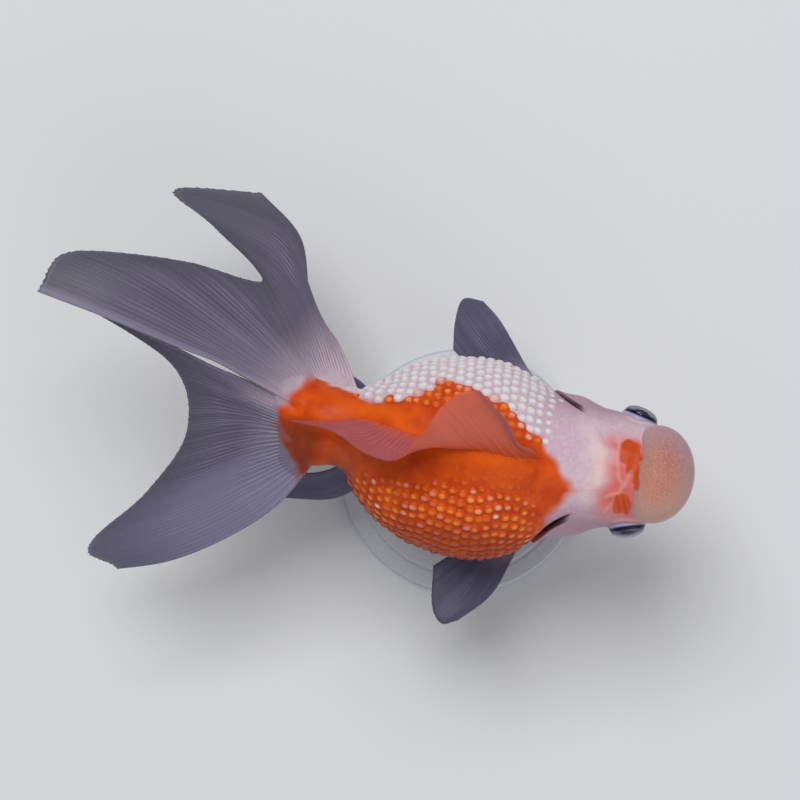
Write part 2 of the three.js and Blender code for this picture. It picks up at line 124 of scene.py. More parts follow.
floor.data.materials.append(paper)

# %% Sky and two soft panels
sky = bpy.data.worlds.new("studio_sky")
sky.use_nodes = True
sky.node_tree.nodes["Background"].inputs["Color"].default_value = (0.62, 0.63, 0.66, 1)
sky.node_tree.nodes["Background"].inputs["Strength"].default_value = 0.55
bpy.context.scene.world = sky
bpy.context.scene.view_settings.view_transform = "Standard"


def soft_panel(name, place, size, power):
    """A square area light at a place in millimetres, aimed at the belly."""
    bpy.ops.object.light_add(type="AREA", location=Vector(place) * MM)
    panel = bpy.context.object
    panel.name = name
    panel.data.size = size
    panel.data.energy = power
    towards = Vector(BELLY) - Vector(place)
    panel.rotation_euler = towards.to_track_quat("-Z", "Y").to_euler()


soft_panel("key", (-300, 520, 1400), 0.8, 15.5)
soft_panel("fill", (1000, -1100, 900), 1.6, 8)

# %% [markdown]
# ## Working by hand, in code
# Blender's tools act on whatever is selected, so each step first selects one object alone. Points are read
# and written in the fish's own millimetres, which lets a sculpting move be written as a rule about places.

# %% Selecting, reading and moving points
def only(*objects):
    """Selects these objects alone and makes the first one active."""
    bpy.ops.object.select_all(action="DESELECT")
    for item in objects:
        item.select_set(True)
    bpy.context.view_layer.objects.active = objects[0]


def points_of(item):
    flat = np.empty(len(item.data.vertices) * 3, dtype=np.float32)
    item.data.vertices.foreach_get("co", flat)
    return flat.reshape(-1, 3) / MM - BELLY


def normals_of(item):
    flat = np.empty(len(item.data.vertices) * 3, dtype=np.float32)
    item.data.vertex_normals.foreach_get("vector", flat)
    return flat.reshape(-1, 3).astype(float)


def place_points(item, points):
    item.data.vertices.foreach_set("co", ((points + BELLY) * MM).astype(np.float32).ravel())
    item.data.update()


def finish_with(item, kind, **settings):
    """Adds a modifier, sets it and applies it, as the modifier panel does."""
    only(item)
    modifier = item.modifiers.new(kind.lower(), kind)
    for name, value in settings.items():
        setattr(modifier, name, value)
    bpy.ops.object.modifier_apply(modifier=modifier.name)


def weigh(item, name, weights):
    """A vertex group that holds the given weights, in steps of a hundredth."""
    group = item.vertex_groups.new(name=name)
    steps = np.round(np.clip(weights, 0, 1) * 100).astype(int)
    for step in np.unique(steps):
        group.add(np.flatnonzero(steps == step).tolist(), float(step) / 100, "REPLACE")


def smooth(item, turns, weights=None):
    """Smooths an object, everywhere or as far as the weights say."""
    settings = {"factor": 0.5, "iterations": turns}
    if weights is not None:
        weigh(item, "smoothing", weights)
        settings["vertex_group"] = "smoothing"
    finish_with(item, "SMOOTH", **settings)
    item.vertex_groups.clear()


def store(item, points_each=1, **masks):
    """Keeps named masks for the materials to read, each with one number for every so many points."""
    for name, values in masks.items():
        kept = item.data.attributes.new(name, "FLOAT", "POINT")
        kept.data.foreach_set("value", np.repeat(values, points_each).astype(np.float32))


def spread_map(item, name, places):
    """Fills a UV map with one place for each point."""
    corners = np.empty(len(item.data.loops), dtype=np.int32)
    item.data.loops.foreach_get("vertex_index", corners)
    item.data.uv_layers[name].data.foreach_set("uv", places[corners].astype(np.float32).ravel())


def edit_faces(item, chosen):
    """Opens edit mode with only the chosen faces selected."""
    only(item)
    bpy.ops.object.mode_set(mode="EDIT")
    bpy.ops.mesh.select_all(action="DESELECT")
    bpy.ops.object.mode_set(mode="OBJECT")
    item.data.polygons.foreach_set("select", chosen)
    bpy.ops.object.mode_set(mode="EDIT")


def triangles_of(item):
    return sum(len(face.vertices) - 2 for face in item.data.polygons)


# %% Rules that shaping and colouring share
def rise(low, high, x):
    """From 0 at low to 1 at high, with soft ends."""
    t = np.clip((x - low) / (high - low), 0, 1)
    return t * t * (3 - 2 * t)


def bump(x, half_width):
    """1 at x = 0, falling softly to 0 at the half width."""
    return 1 - rise(0, half_width, np.abs(x))


def mottle(points, size, seed):
    """Smooth, seeded unevenness between about -1 and 1, in patches of about the given size."""
    random = np.random.default_rng(seed)
    total = np.zeros(len(points))
    for _ in range(9):
        way = random.normal(size=3)
        way /= np.linalg.norm(way)
        phase = random.uniform(0, 2 * math.pi)
        total += np.sin(points @ way * 2 * math.pi / (size * random.uniform(1, 2)) + phase)
    return total / 3


def distance_to_line(points, start, end):
    """How far each point lies from the straight line between two places."""
    way = end - start
    t = np.clip((points - start) @ way / (way @ way), 0, 1)
    return np.linalg.norm(points - start - t[:, None] * way, axis=1)


def distance_to_path(points, path):
    """How far each point lies, seen from above, from a line of straight pieces."""
    path = np.array(path, dtype=float)
    return np.min([distance_to_line(points[:, :2], *pair) for pair in zip(path[:-1], path[1:])], axis=0)


def through(stations, x):
    """A value at x, by straight lines between a few stations (x, value)."""
    return np.interp(x, [s[0] for s in stations], [s[1] for s in stations])


# %% [markdown]
# ## The fins' sheets
# A fin is a thin sheet on bony rays that fan out from a fleshy root. It could be sculpted freely, but a few
# rays, each with a handful of places from root to edge, say all that matters. A grid laid on a smooth sheet
# through those rays serves twice: short and thick it is the fleshy root that grows out of the body, and
# whole and thin it is the fin itself.

# %% The sheets of the fins, each ray from root to edge
DORSAL = [
    [[15, 1.5, 18.5], [11.5, 2, 25], [8, 6, 33], [2.5, 10, 38]],
    [[10.5, 0.5, 20], [7, 3, 27], [3, 6.5, 33.5], [-1, 9, 38]],
    [[5, 0.5, 20.5], [2, 1, 26], [-1, 3, 32], [-4.5, 5.5, 36]],
    [[0, 0.5, 20], [-2.5, -0.5, 25], [-5, -0.5, 29.5], [-7, 0.5, 33]],
    [[-5, 1, 18.5], [-7, -0.5, 22.5], [-9, -2.5, 26], [-11, -4.5, 29]],
    [[-10, 2.5, 16], [-12, 0.5, 19], [-14, -2, 22], [-17, -4, 24.5]],
    [[-14, 3, 14], [-16.5, 2, 16], [-20, 0.5, 18], [-25, 0, 19]],
    [[-16.5, 3.5, 12.5], [-20.5, 3, 13.5], [-25.5, 2, 14.5], [-33, 1, 15]],
]
TAIL_LEFT = [
    [[-33, 4.7, 8.2], [-44, 8.3, 12.5], [-58.5, 12.1, 16.5], [-73, 15.4, 19.5], [-85, 18, 21]],
    [[-31.5, 7, 7], [-43.5, 13, 11.5], [-56, 19, 15], [-68.5, 24, 17.5], [-80, 27, 19]],
    [[-30, 8.5, 6], [-36.5, 15, 8.5], [-44, 21, 10.5], [-51, 26, 11.5], [-58, 29, 12]],
    [[-29.5, 9, 5], [-33, 14, 5.5], [-36.5, 19, 5.5], [-40, 24, 5.5], [-43, 28.5, 5]],
    [[-27.5, 9.5, 2.5], [-31.5, 17.5, 1], [-36, 26.5, -1], [-44, 33.5, -2.5], [-54.5, 38.5, -3]],
    [[-25, 9.5, 0], [-30, 20.5, -2.5], [-35.5, 32, -5], [-43, 41.5, -6.5], [-64.5, 45.5, -6]],
    [[-21, 9, -3], [-26.5, 19, -6], [-33.5, 27, -8], [-37.5, 40, -9.5], [-47, 48, -9]],
]
TAIL_RIGHT = [
    [[-33.5, 4.3, 7.2], [-44.5, 8.5, 10.3], [-57, 12, 12.6], [-68.5, 15.3, 14], [-80, 18.3, 15.3]],
    [[-34, 2.5, 6.5], [-40.5, 4, 8], [-47, 6, 9], [-53, 8, 9.5], [-58.5, 9.5, 9.5]],
    [[-33.5, 0, 5], [-39, 0, 5], [-44, -0.5, 4.5], [-48.5, -1.5, 4], [-53.5, -3, 3.5]],
    [[-32.5, -2.5, 3], [-40, -6, 1.5], [-46.5, -9.5, 0], [-53, -13, -1.5], [-60, -16, -3]],
    [[-31, -4.5, 0.5], [-40, -11, -2.5], [-50, -17.5, -5.5], [-60, -23, -8], [-70.5, -28, -10]],
    [[-28, -5.5, -2], [-34, -15, -5.5], [-43.5, -23, -9], [-55, -29.5, -12], [-68, -33, -14]],
]
PECTORAL_LEFT = [
    [[16, 15.5, -8], [11.5, 21, -9.5], [5.5, 29, -11], [1, 33, -12]],
    [[14.5, 15.5, -9.5], [9, 20.5, -11], [2, 28, -12.5], [-3, 33, -13.5]],
    [[13, 15.5, -11], [6, 19.5, -12.5], [0, 24, -13.5], [-4, 28.5, -14.5]],
    [[11.5, 15, -12.5], [5, 18, -13.5], [0, 20, -14.5], [-3.5, 22.5, -15]],
]
PECTORAL_RIGHT = [
    [[17, -12.5, -8], [14.5, -18.5, -9.5], [11.5, -26, -11], [5.5, -32.5, -12]],
    [[15.5, -12.5, -9.5], [11.5, -19.5, -11], [7.5, -27.5, -12.5], [2.5, -33.5, -13.5]],
    [[14.5, -12, -11], [9, -18, -12.5], [4, -25, -13.5], [0, -30, -14.5]],
    [[13, -12, -12.5], [7, -15.5, -13.5], [2.5, -19, -14.5], [-1, -22, -15]],
]
PELVIC = [
    [[11, 6.5, -19.5], [7.5, 10, -23.5], [2.5, 13.5, -26.5], [-2.5, 15.5, -28]],
    [[9.5, 5.8, -20], [5, 9, -24], [-0.5, 12, -27], [-6, 13.5, -28.5]],
    [[8, 5, -20.5], [3.5, 7.5, -24], [-1.5, 9.5, -26.5], [-6, 10.5, -27.5]],
]
ANAL = [
    [[-12, -1, -13], [-17, -7, -15.5], [-23.5, -11.5, -16.5], [-33, -12.4, -17]],
    [[-14.5, -0.5, -11], [-20, -5.5, -13.5], [-26.5, -9.5, -14.5], [-35.5, -11, -15]],
    [[-18, 0, -7.5], [-22, -4.2, -10], [-26.5, -6.8, -11], [-32.5, -7.8, -11.5]],
]
ANAL_MIDDLE = 1.3
ROOT_DEPTH = 2.5  # how far each sheet starts inside the body
ROOT_END = 0.8  # the thickness at which a fleshy root gives way to the web


def mirrored(rays, middle):
    """The same fin on the other side of the plane y = middle."""
    return [[[x, 2 * middle - y, z] for x, y, z in ray] for ray in rays]


def spline(stations, t):
    """Points at each t in 0..1 on a smooth curve through the stations, which lie along the first axis."""
    reach = np.concatenate([2 * stations[:1] - stations[1:2], stations, 2 * stations[-1:] - stations[-2:-1]])
    place = np.clip(t, 0, 1) * (len(stations) - 1)
    i = np.minimum(place.astype(int), len(stations) - 2)
    w = (place - i).reshape((-1,) + (1,) * (stations.ndim - 1))
    a, b, c, d = (reach[i + k] for k in range(4))
    return b + 0.5 * w * (c - a + w * (2 * a - 5 * b + 4 * c - d + w * (3 * b - a - 3 * c + d)))


# %% Lay a grid on a fin's sheet, and give it thickness
def lay_sheet(name, rays, across_steps, down_steps, reach_of):
    """A grid on the sheet, with each point's share across and down. reach_of says how far out each lies."""
    rays = np.array(rays, dtype=float)
    inward = rays[:, :1] - rays[:, 1:2]
    inward *= ROOT_DEPTH / np.linalg.norm(inward, axis=2, keepdims=True)
    stations = np.concatenate([rays[:, :1] + inward, rays], axis=1)
    bpy.ops.mesh.primitive_grid_add(x_subdivisions=across_steps, y_subdivisions=down_steps, size=1)
    sheet = bpy.context.object
    sheet.name = name
    flat = np.array([tuple(v.co) for v in sheet.data.vertices])
    across, down = flat[:, 0] + 0.5, flat[:, 1] + 0.5
    reach = reach_of(across, down)
    laid = np.empty((len(flat), 3))
    for stop in np.unique(np.round(across, 6)):
        column = np.abs(across - stop) < 1e-5
        ray = spline(stations.transpose(1, 0, 2), reach[column])
        laid[column] = spline(ray.transpose(1, 0, 2), np.array([stop]))[0]
    place_points(sheet, laid)
    return sheet, across, down


def thicken(item, thickness):
    """Solidify, with its own thickness in millimetres at each point."""
    most = float(thickness.max())
    weigh(item, "thickness", thickness / most)
    finish_with(item, "SOLIDIFY", thickness=most * MM, offset=0, vertex_group="thickness")


def fleshy_root(rays, thickness, share):
    """The start of a fin, thick in the body and tapering out along this share of its rays."""
    root, _, down = lay_sheet("fleshy_root", rays, 24, 10, lambda across, down: share * down)
    thicken(root, ROOT_END + (thickness - ROOT_END) * (1 - down**1.4))
    return root


# %% [markdown]
# ## The skin
# A living fish has one skin from lips to tail, with no joints. The CAD body is cut into nodes, so copies of
# the flesh nodes are swollen until their gaps close, joined, and remeshed into one surface. What a sculptor
# would add in clay, the lips, the eyelids and sockets and the fins' roots, is joined before a finer remesh,
# and the flesh round each fin's root is then smoothed. The skin lies inside the CAD flesh by about the
# height of the pearls that will cover it.

# %% Copy the flesh nodes and close their gaps
FLESH = ["trunk", "head", "tail_stalk", "gill_cover_left", "gill_cover_right"]
SWELL = 0.22
COARSE_VOXEL, FINE_VOXEL = 0.6, 0.44
NECK_X = 20


def flesh_copy(name):
    """A closed copy of a CAD node, swollen a little."""
    copy = bpy.data.objects.new("flesh_" + name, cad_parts[name].data.copy())
    bpy.context.scene.collection.objects.link(copy)
    only(copy)
    bpy.ops.object.mode_set(mode="EDIT")
    bpy.ops.mesh.select_all(action="SELECT")
    bpy.ops.mesh.remove_doubles(threshold=0.01 * MM)
    bpy.ops.object.mode_set(mode="OBJECT")
    place_points(copy, points_of(copy) + SWELL * normals_of(copy))
    return copy


def join(*items):
    """Joins objects into the first one."""
    only(*items)
    bpy.ops.object.join()
    return bpy.context.object


def keep_largest(item):
    """Parts an object into its loose pieces and keeps the largest."""
    only(item)
    bpy.ops.mesh.separate(type="LOOSE")
    pieces = sorted(bpy.context.selected_objects, key=lambda piece: len(piece.data.vertices))
    for piece in pieces[:-1]:
        bpy.data.objects.remove(piece)
    return pieces[-1]


skin = join(*[flesh_copy(name) for name in FLESH])
finish_with(skin, "REMESH", mode="VOXEL", voxel_size=COARSE_VOXEL * MM)
skin = keep_largest(skin)
skin.name = "skin"
smooth(skin, 14)
smooth(skin, 16, points_of(skin)[:, 0] < NECK_X)
print("smoothed flesh points:", len(skin.data.vertices))

# %% Lips, eyelids and eye sockets as rings and balls of clay
EYE_RADIUS = 4.1
EYE_TURN = math.radians(15)
EYES = {"left": (34.9, 10.9, 2.2), "right": (35.4, -7.5, 2.2)}
EYE_SIDES = {"left": 1, "right": -1}
MOUTH = np.array([45.1, SPINE_Y, -0.8])


def eye_axis(name):
    """The way an eye looks: out to its side, a little forward and a little up."""
    side = EYE_SIDES[name]
    return Vector((math.sin(EYE_TURN), side * math.cos(EYE_TURN), 0.06)).normalized()


def ring_at(place, axis, radius, roll):
    """A round ring about the axis, its roll this thick from its own middle."""
    bpy.ops.mesh.primitive_torus_add(
        major_radius=radius * MM, minor_radius=roll * MM, major_segments=72, minor_segments=20
    )
    ring = bpy.context.object
    ring.rotation_euler = axis.to_track_quat("Z", "Y").to_euler()
    ring.location = Vector(place + BELLY) * MM
    bpy.ops.object.transform_apply()
    return ring


LID_OUT, LID_SPREAD, LID_ROLL = 0.5, 0.3, 0.8
SOCKET_DEPTH, SOCKET_GROWTH = 1.2, 0.2
lids = []
for name, middle in EYES.items():
    way = np.array(eye_axis(name))
    lids.append(ring_at(np.array(middle) + LID_OUT * way, eye_axis(name), EYE_RADIUS + LID_SPREAD, LID_ROLL))
    bpy.ops.mesh.primitive_uv_sphere_add(segments=48, ring_count=32, radius=(EYE_RADIUS + SOCKET_GROWTH) * MM)
    socket = bpy.context.object
    socket.location = Vector(np.array(middle) - SOCKET_DEPTH * way + BELLY) * MM
    bpy.ops.object.transform_apply()
    lids.append(socket)
MOUTH_TILT, MOUTH_SQUASH = 0.3, 0.7
MOUTH_RADIUS, LIP_RADIUS = 2.4, 1.5
mouth_axis = Vector((math.cos(MOUTH_TILT), 0, math.sin(MOUTH_TILT)))
lips = ring_at(MOUTH, mouth_axis, MOUTH_RADIUS, LIP_RADIUS)
lip_points = points_of(lips)
lip_points[:, 2] = MOUTH[2] + (lip_points[:, 2] - MOUTH[2]) * MOUTH_SQUASH
place_points(lips, lip_points)

# %% The fins' fleshy roots
ROOT_SHARE = 0.3
ROOT_THICKNESS = [
    (TAIL_LEFT, 5.6),
    (TAIL_RIGHT, 5.6),
    (DORSAL, 2.8),
    (PECTORAL_LEFT, 3.2),
    (PECTORAL_RIGHT, 3.2),
    (PELVIC, 2.8),
    (mirrored(PELVIC, 0), 2.8),
    (ANAL, 2.4),
    (mirrored(ANAL, ANAL_MIDDLE), 2.4),
]
fin_roots = [fleshy_root(rays, thickness, ROOT_SHARE) for rays, thickness in ROOT_THICKNESS]

# %% Join them and remesh finely, then smooth the flesh round each fin's root
ROOT_BLEND = 6
skin = join(skin, lips, *lids, *fin_roots)
finish_with(skin, "REMESH", mode="VOXEL", voxel_size=FINE_VOXEL * MM)
skin = keep_largest(skin)
smooth(skin, 4)
smooth_points = points_of(skin)
near_root = rise(-22, -26, smooth_points[:, 0])
for rays, _ in ROOT_THICKNESS:
    for ray in rays:
        near_root = np.maximum(near_root, bump(np.linalg.norm(smooth_points - ray[0], axis=1), ROOT_BLEND))
smooth(skin, 16, near_root)
print("skin points:", len(skin.data.vertices))

# %% Where the gill slits run
GILL = np.array([25.0, -1.0])  # the middle of the gill cover's oval, along the fish and up
GILL_BACK, GILL_HIGH = 7.1, 9.4


def gill_place(points):
    """How far each point lies outside the gill cover's oval, and its angle up from straight back."""
    ahead = (points[:, 0] - GILL[0]) / GILL_BACK
    above = (points[:, 2] - GILL[1]) / GILL_HIGH
    reach = np.hypot(ahead, above)
    radius = np.hypot(ahead * GILL_BACK, above * GILL_HIGH) / np.maximum(reach, 0.01)
    return (reach - 1) * radius, np.degrees(np.arctan2(above, -ahead))


# %% Refine the skin along the slits and on the head, where the fine folds go
HEAD_FROM = 27.2
SLIT_BAND = 1.5
middles = np.array([tuple(face.center) for face in skin.data.polygons]) / MM - BELLY
near_slit = (np.abs(gill_place(middles)[0]) < SLIT_BAND) & (np.abs(middles[:, 1] - SPINE_Y) > 3)
edit_faces(skin, near_slit | (middles[:, 0] > HEAD_FROM))
bpy.ops.mesh.subdivide(number_cuts=1)
bpy.ops.object.mode_set(mode="OBJECT")
smooth(skin, 3, rise(17, 18, points_of(skin)[:, 0]))
print("skin triangles:", triangles_of(skin))

# %% [markdown]
# ## Sculpting the skin
# A sculptor would now carve the gill slits, open the mouth, press in the nostrils and fold the nape. Each
# of these is a short rule: how far a point moves along the skin's normal, by its distance from a line or a
# place.

# %% Gill slits
skin_points = points_of(skin)
skin_normals = normals_of(skin)


def on_the_sides(points):
    """1 on the head's sides, where the gill covers lie, and 0 along its middle."""
    return rise(3.5, 5, np.abs(points[:, 1] - SPINE_Y))


def gill_arc(points):
    """1 along the gill cover's free edge, behind and below, and 0 where it is hinged to the head."""
    _, angle = gill_place(points)
    return (1 - rise(72, 88, angle)) * (1 - rise(30, 90, -angle)) * on_the_sides(points)


def slit_width(points):
    """Half the slit's width. It gapes most towards its upper end, and more on the right side."""
    _, angle = gill_place(points)
    gape = np.where(points[:, 1] > SPINE_Y, 0.1, 0.38)
    return 0.1 + gape * bump(angle - 52, 46)


def in_the_slit(points, grow):
    """1 in the slit, grown by some millimetres to each side. It fades where the cover lies close."""
    gap, angle = gill_place(points)
    width = slit_width(points)
    half = width + grow * np.where(points[:, 1] > SPINE_Y, 0.7, 1)
    inside = 1 - rise(half - 0.2, half + 0.25, np.abs(gap - 0.1 - width))
    return gill_arc(points) * inside * (0.45 + 0.55 * bump(angle - 52, 64))


COVER_LIFT, SLIT_DEPTH = 0.5, 1.2
gap, _ = gill_place(skin_points)
lifted = COVER_LIFT * gill_arc(skin_points) * rise(-3.6, -0.3, gap) * (1 - rise(0, 0.35, gap))
moved = lifted - SLIT_DEPTH * in_the_slit(skin_points, 0)
skin_points = skin_points + moved[:, None] * skin_normals

# %% Mouth and nostrils
LIP_ROLL, LIP_GROOVE, MOUTH_DEPTH = 0.8, 0.45, 2.4
mouth_spread = np.hypot((skin_points[:, 1] - SPINE_Y) / 1.6, (skin_points[:, 2] - MOUTH[2]) / 0.85)
snout = rise(42, 43.5, skin_points[:, 0])
mouth_open = (1 - rise(0.4, 1.1, mouth_spread)) * snout
lip_roll = bump(mouth_spread - 1.65, 0.8) * snout
lip_groove = bump(mouth_spread - 2.9, 0.7) * snout
skin_points[:, 0] += LIP_ROLL * lip_roll - LIP_GROOVE * lip_groove - MOUTH_DEPTH * mouth_open
print("mouth points:", int((mouth_open > 0.5).sum()))

NOSTRIL_SIDE = 5.7
NOSTRIL_HALF = [1.0, 1.1, 0.8]
NOSTRIL_RIM, NOSTRIL_DEPTH = 0.4, 1.3
nostril = np.zeros(len(skin_points))
for side in (1, -1):
    place = np.array([42.3, SPINE_Y + side * NOSTRIL_SIDE, 1.9])
    reach = np.linalg.norm((skin_points - place) / NOSTRIL_HALF, axis=1)
    nostril = np.maximum(nostril, 1 - rise(0.35, 0.95, reach))
    moved = NOSTRIL_RIM * bump(reach - 1.25, 0.5) - NOSTRIL_DEPTH * (1 - rise(0.3, 1.0, reach))
    skin_points += moved[:, None] * skin_normals

# %% The nape's collar and folds, and the skin's soft rim round the crown
NAPE_EDGE = [(-8, 27.6), (-4.4, 27.5), (-2.4, 28.8), (1.1, 29.4), (4.3, 28.9), (7.2, 27.4), (9, 27)]
FOLDS = [
    [(31.4, 6.8), (31.5, 4.1), (31.7, 1.5), (32.1, -0.5), (33.2, -1.7), (32.7, -3.4), (30.2, -4.5)],
    [(31.7, -3.9), (31.7, -5.3), (31.2, -6.4), (30.5, -7.3)],
    [(33.4, -2.0), (33.9, -0.4), (34.3, 0.9)],
]
FOLD_HEIGHT, CRUMPLE_HEIGHT, COLLAR_HEIGHT, RIM_HEIGHT = 0.11, 0.06, 0.28, 0.9
on_top = rise(4, 7, skin_points[:, 2])
fold = np.max([bump(distance_to_path(skin_points, path), 0.7) for path in FOLDS], axis=0)
crumple = rise(29, 31, skin_points[:, 0]) * mottle(skin_points, 1.6, seed=3)
past_collar = skin_points[:, 0] - through(NAPE_EDGE, skin_points[:, 1])
collar = (1 - rise(-0.8, 1.2, past_collar)) * rise(-7, -0.8, past_collar)

CROWN = np.array([39.4, 1.4, 9.0])
CROWN_AHEAD, CROWN_BEHIND, CROWN_WIDE, CROWN_UP, CROWN_DOWN = 7.7, 5.0, 9.8, 6.4, 6.4


def crown_radii(out):
    """The crown's radii for each way out of its middle."""
    ahead = np.where(out[:, 0] > 0, CROWN_AHEAD, CROWN_BEHIND)
    up = np.where(out[:, 2] > 0, CROWN_UP, CROWN_DOWN)
    return np.column_stack([ahead, np.full(len(out), CROWN_WIDE), up])


out = skin_points - CROWN
past_crown = (np.linalg.norm(out / crown_radii(out), axis=1) - 1) * CROWN_UP
crown_rim = 1 - rise(-0.5, 2.8, past_crown)
raised = FOLD_HEIGHT * fold + CRUMPLE_HEIGHT * crumple + COLLAR_HEIGHT * collar
skin_points += (on_top * raised + RIM_HEIGHT * crown_rim)[:, None] * skin_normals

# %% The crease along the back, and room for the pearls
BACK_CREASE = [(-31, 10), (-24, 9), (-18.5, 7.4), (-14, 7.8), (-9, 8.8)]
crease = bump(distance_to_path(skin_points, BACK_CREASE), 1.3) * rise(0, 4, skin_points[:, 2])
crease *= (1 - rise(-14, -8, skin_points[:, 0])) * rise(-24, -18, skin_points[:, 0])
CREASE_DEPTH, PEARL_DEPTH = 0.5, 0.5
under_pearls = (1 - rise(16, 23, skin_points[:, 0])) * rise(-26, -18, skin_points[:, 0])
skin_points -= (CREASE_DEPTH * crease + PEARL_DEPTH * under_pearls)[:, None] * skin_normals
place_points(skin, skin_points)
skin_points = points_of(skin)
print("skin box, mm:", skin_points.min(axis=0).round(1), skin_points.max(axis=0).round(1))

# %% [markdown]
# ## Markings
# The fish is white with an orange saddle, two red blots at the crown's rear edge and a flushed, crumpled
# nape. A painter would mask these off. Here each mask is a rule about places on the body, so the skin, the
# pearls and the fins' roots all ask the same rule and carry the same marking across their joins.
# Two masks here are painted light rather than markings: brown shade low on the right flank and at the tail's
# right root, and a light orange strip at the dorsal fin's foot.

# %% The orange saddle
SADDLE_LEFT = [
    (-40, 11), (-30, 10.6), (-24, 9.2), (-18.5, 7.5), (-14, 7.5), (-11, 8.4), (-9, 9.8), (-7, 11.6),
    (-5, 12.8), (-3, 13.2), (0, 12.9), (4, 12.1), (6, 11), (8, 9.7), (10, 8.8), (12, 7.4), (13.6, 6),
    (15.4, 4.4), (17, 2.8), (19.4, 0.3), (21.8, -2.4), (24, -4.4),
]
SADDLE_FRONT = [(-20, 18.5), (-11, 19.4), (-8, 21), (-6, 22.5), (-4.4, 24.2), (-3, 30)]
SADDLE_LOW = -8


def behind_root(points):
    """How many millimetres each point lies behind the line where the tail's web leaves the flesh."""
    return -36.4 + 0.62 * np.abs(points[:, 1] - 1.4) - points[:, 0]


def webbing(points):
    """From 0 on the flesh to 1 on the tail's web. The left half stays pale for longer."""
    left = rise(2, 5, points[:, 1])
    return rise(2 * left - 10, 2 + 11 * left, behind_root(points))


def saddle(points, softness=0.45, scatter=0):
    """1 in the orange saddle and 0 in the white. Its edge is ragged, and blurred in front."""
    x, y, z = points.T
    inside = np.minimum(through(SADDLE_LEFT, x) - y, through(SADDLE_FRONT, y) - x)
    low_edge = SADDLE_LOW + 3 * np.sin(0.21 * x + 0.6) + 9 * rise(11, 20, x)
    low_edge += 2.2 * mottle(points, 9, seed=13)
    inside = np.minimum(inside, (z - low_edge - 2.5 * rise(-10, -26, x)) * 0.6)
    inside += 0.4 * mottle(points, 3, seed=11) + scatter
    blur = softness + 0.9 * rise(12, 17, x)
    ahead_of_root = 0.6 * mottle(points, 2.5, seed=12) - behind_root(points)
    return rise(-1, 1, inside / blur) * rise(-1.3, 1.3, ahead_of_root)


def dusk(points):
    """Painted shade: how far the orange darkens to brown, low on the right flank and at the tail's right
    root.
    """
    x, y, z = points.T
    flank = np.maximum(0.75 * (1 - rise(-3, 9, z)) * (1 - rise(-6, 0, y)), 0.4 * (1 - rise(-17.5, -12, y)))
    root = 0.7 * (1 - rise(0.5, 3.5, y)) * rise(-25, -29, x)
    return np.maximum(flank, root)


DORSAL_FOOT = [(12, -0.3), (5, -1.3), (-2, -1.3), (-8, 1), (-14, 5), (-24, 6)]


def beside_dorsal(points):
    """1 along the smooth strip of skin at the dorsal fin's foot, and 0 from 3 mm away. The skin's colour
    paints light on this strip.
    """
    return bump(distance_to_path(points, DORSAL_FOOT), 3) * rise(8, 12, points[:, 2])


# %% Blots and blush on the head
def blot(points, x, y, half_x, half_y, ragged=0.12):
    """1 in an oval blot with a ragged edge, which fades down the head's side."""
    reach = np.hypot((points[:, 0] - x) / half_x, (points[:, 1] - y) / half_y)
    reach += ragged * mottle(points, 1.5, seed=int(x))
    return (1 - rise(0.84, 1.12, reach)) * rise(4.5, 7.5, points[:, 2])


NAPE_MIDDLE = 0.6


def nape_blush(points):
    """1 on the flushed skin between the nape's collar and the crown."""
    x, y, z = points.T
    ahead = x - through(NAPE_EDGE, y) + 0.4 * mottle(points, 3, seed=21)
    return rise(-1.2, 3.0, ahead) * (1 - rise(5, 10, np.abs(y - NAPE_MIDDLE + 1))) * rise(3, 7, z)


def red_blots(points):
    """1 in the large blot, its thin tail and the striped low one, all at the crown's rear edge."""
    bean = np.maximum(blot(points, 33.8, 4.6, 2.2, 2.9), blot(points, 34.5, 2.2, 1.4, 2.0))
    link = np.maximum(blot(points, 35.4, 0.3, 0.55, 1.8), blot(points, 35.9, -1.6, 0.5, 1.1))
    low = blot(points, 33.6, -5.2, 2.2, 1.9, ragged=0.25) * rise(6, 9, points[:, 2])
    stripes = 0.84 + 0.16 * np.sin(points[:, 0] * 5 + points[:, 1] * 2.2)
    return np.maximum(np.maximum(bean, link), low * stripes)


# %% Give every skin point its markings
lip_spread = np.hypot((skin_points[:, 1] - SPINE_Y) / 3.5, (skin_points[:, 2] - MOUTH[2]) / 2.5)
# Some of these masks are painted shade: brown low on the right flank, lavender-grey on the head's sides,
# brown in the back's crease, near-black in the slits, mouth and nostrils. One is a painted light strip at the
# dorsal fin's foot.
store(
    skin,
    orange=saddle(skin_points),
    dusk=dusk(skin_points),
    web=webbing(skin_points),
    blush=nape_blush(skin_points),
    red=red_blots(skin_points),
    fold=fold * on_top,
    collar=on_top * bump(past_collar + 1.2, 2.6) * bump(skin_points[:, 1] - NAPE_MIDDLE, 9),
    cheek=(1 - rise(0.3, 0.9, skin_normals[:, 2])) * rise(14, 19, skin_points[:, 0]),
    dark=np.maximum.reduce([in_the_slit(skin_points, 0.3), 0.95 * mouth_open, 0.9 * nostril]),
    crease=crease,
    glow=beside_dorsal(skin_points),
    lip=bump(lip_spread - 0.75, 0.5) * rise(43.5, 45, skin_points[:, 0]),
)
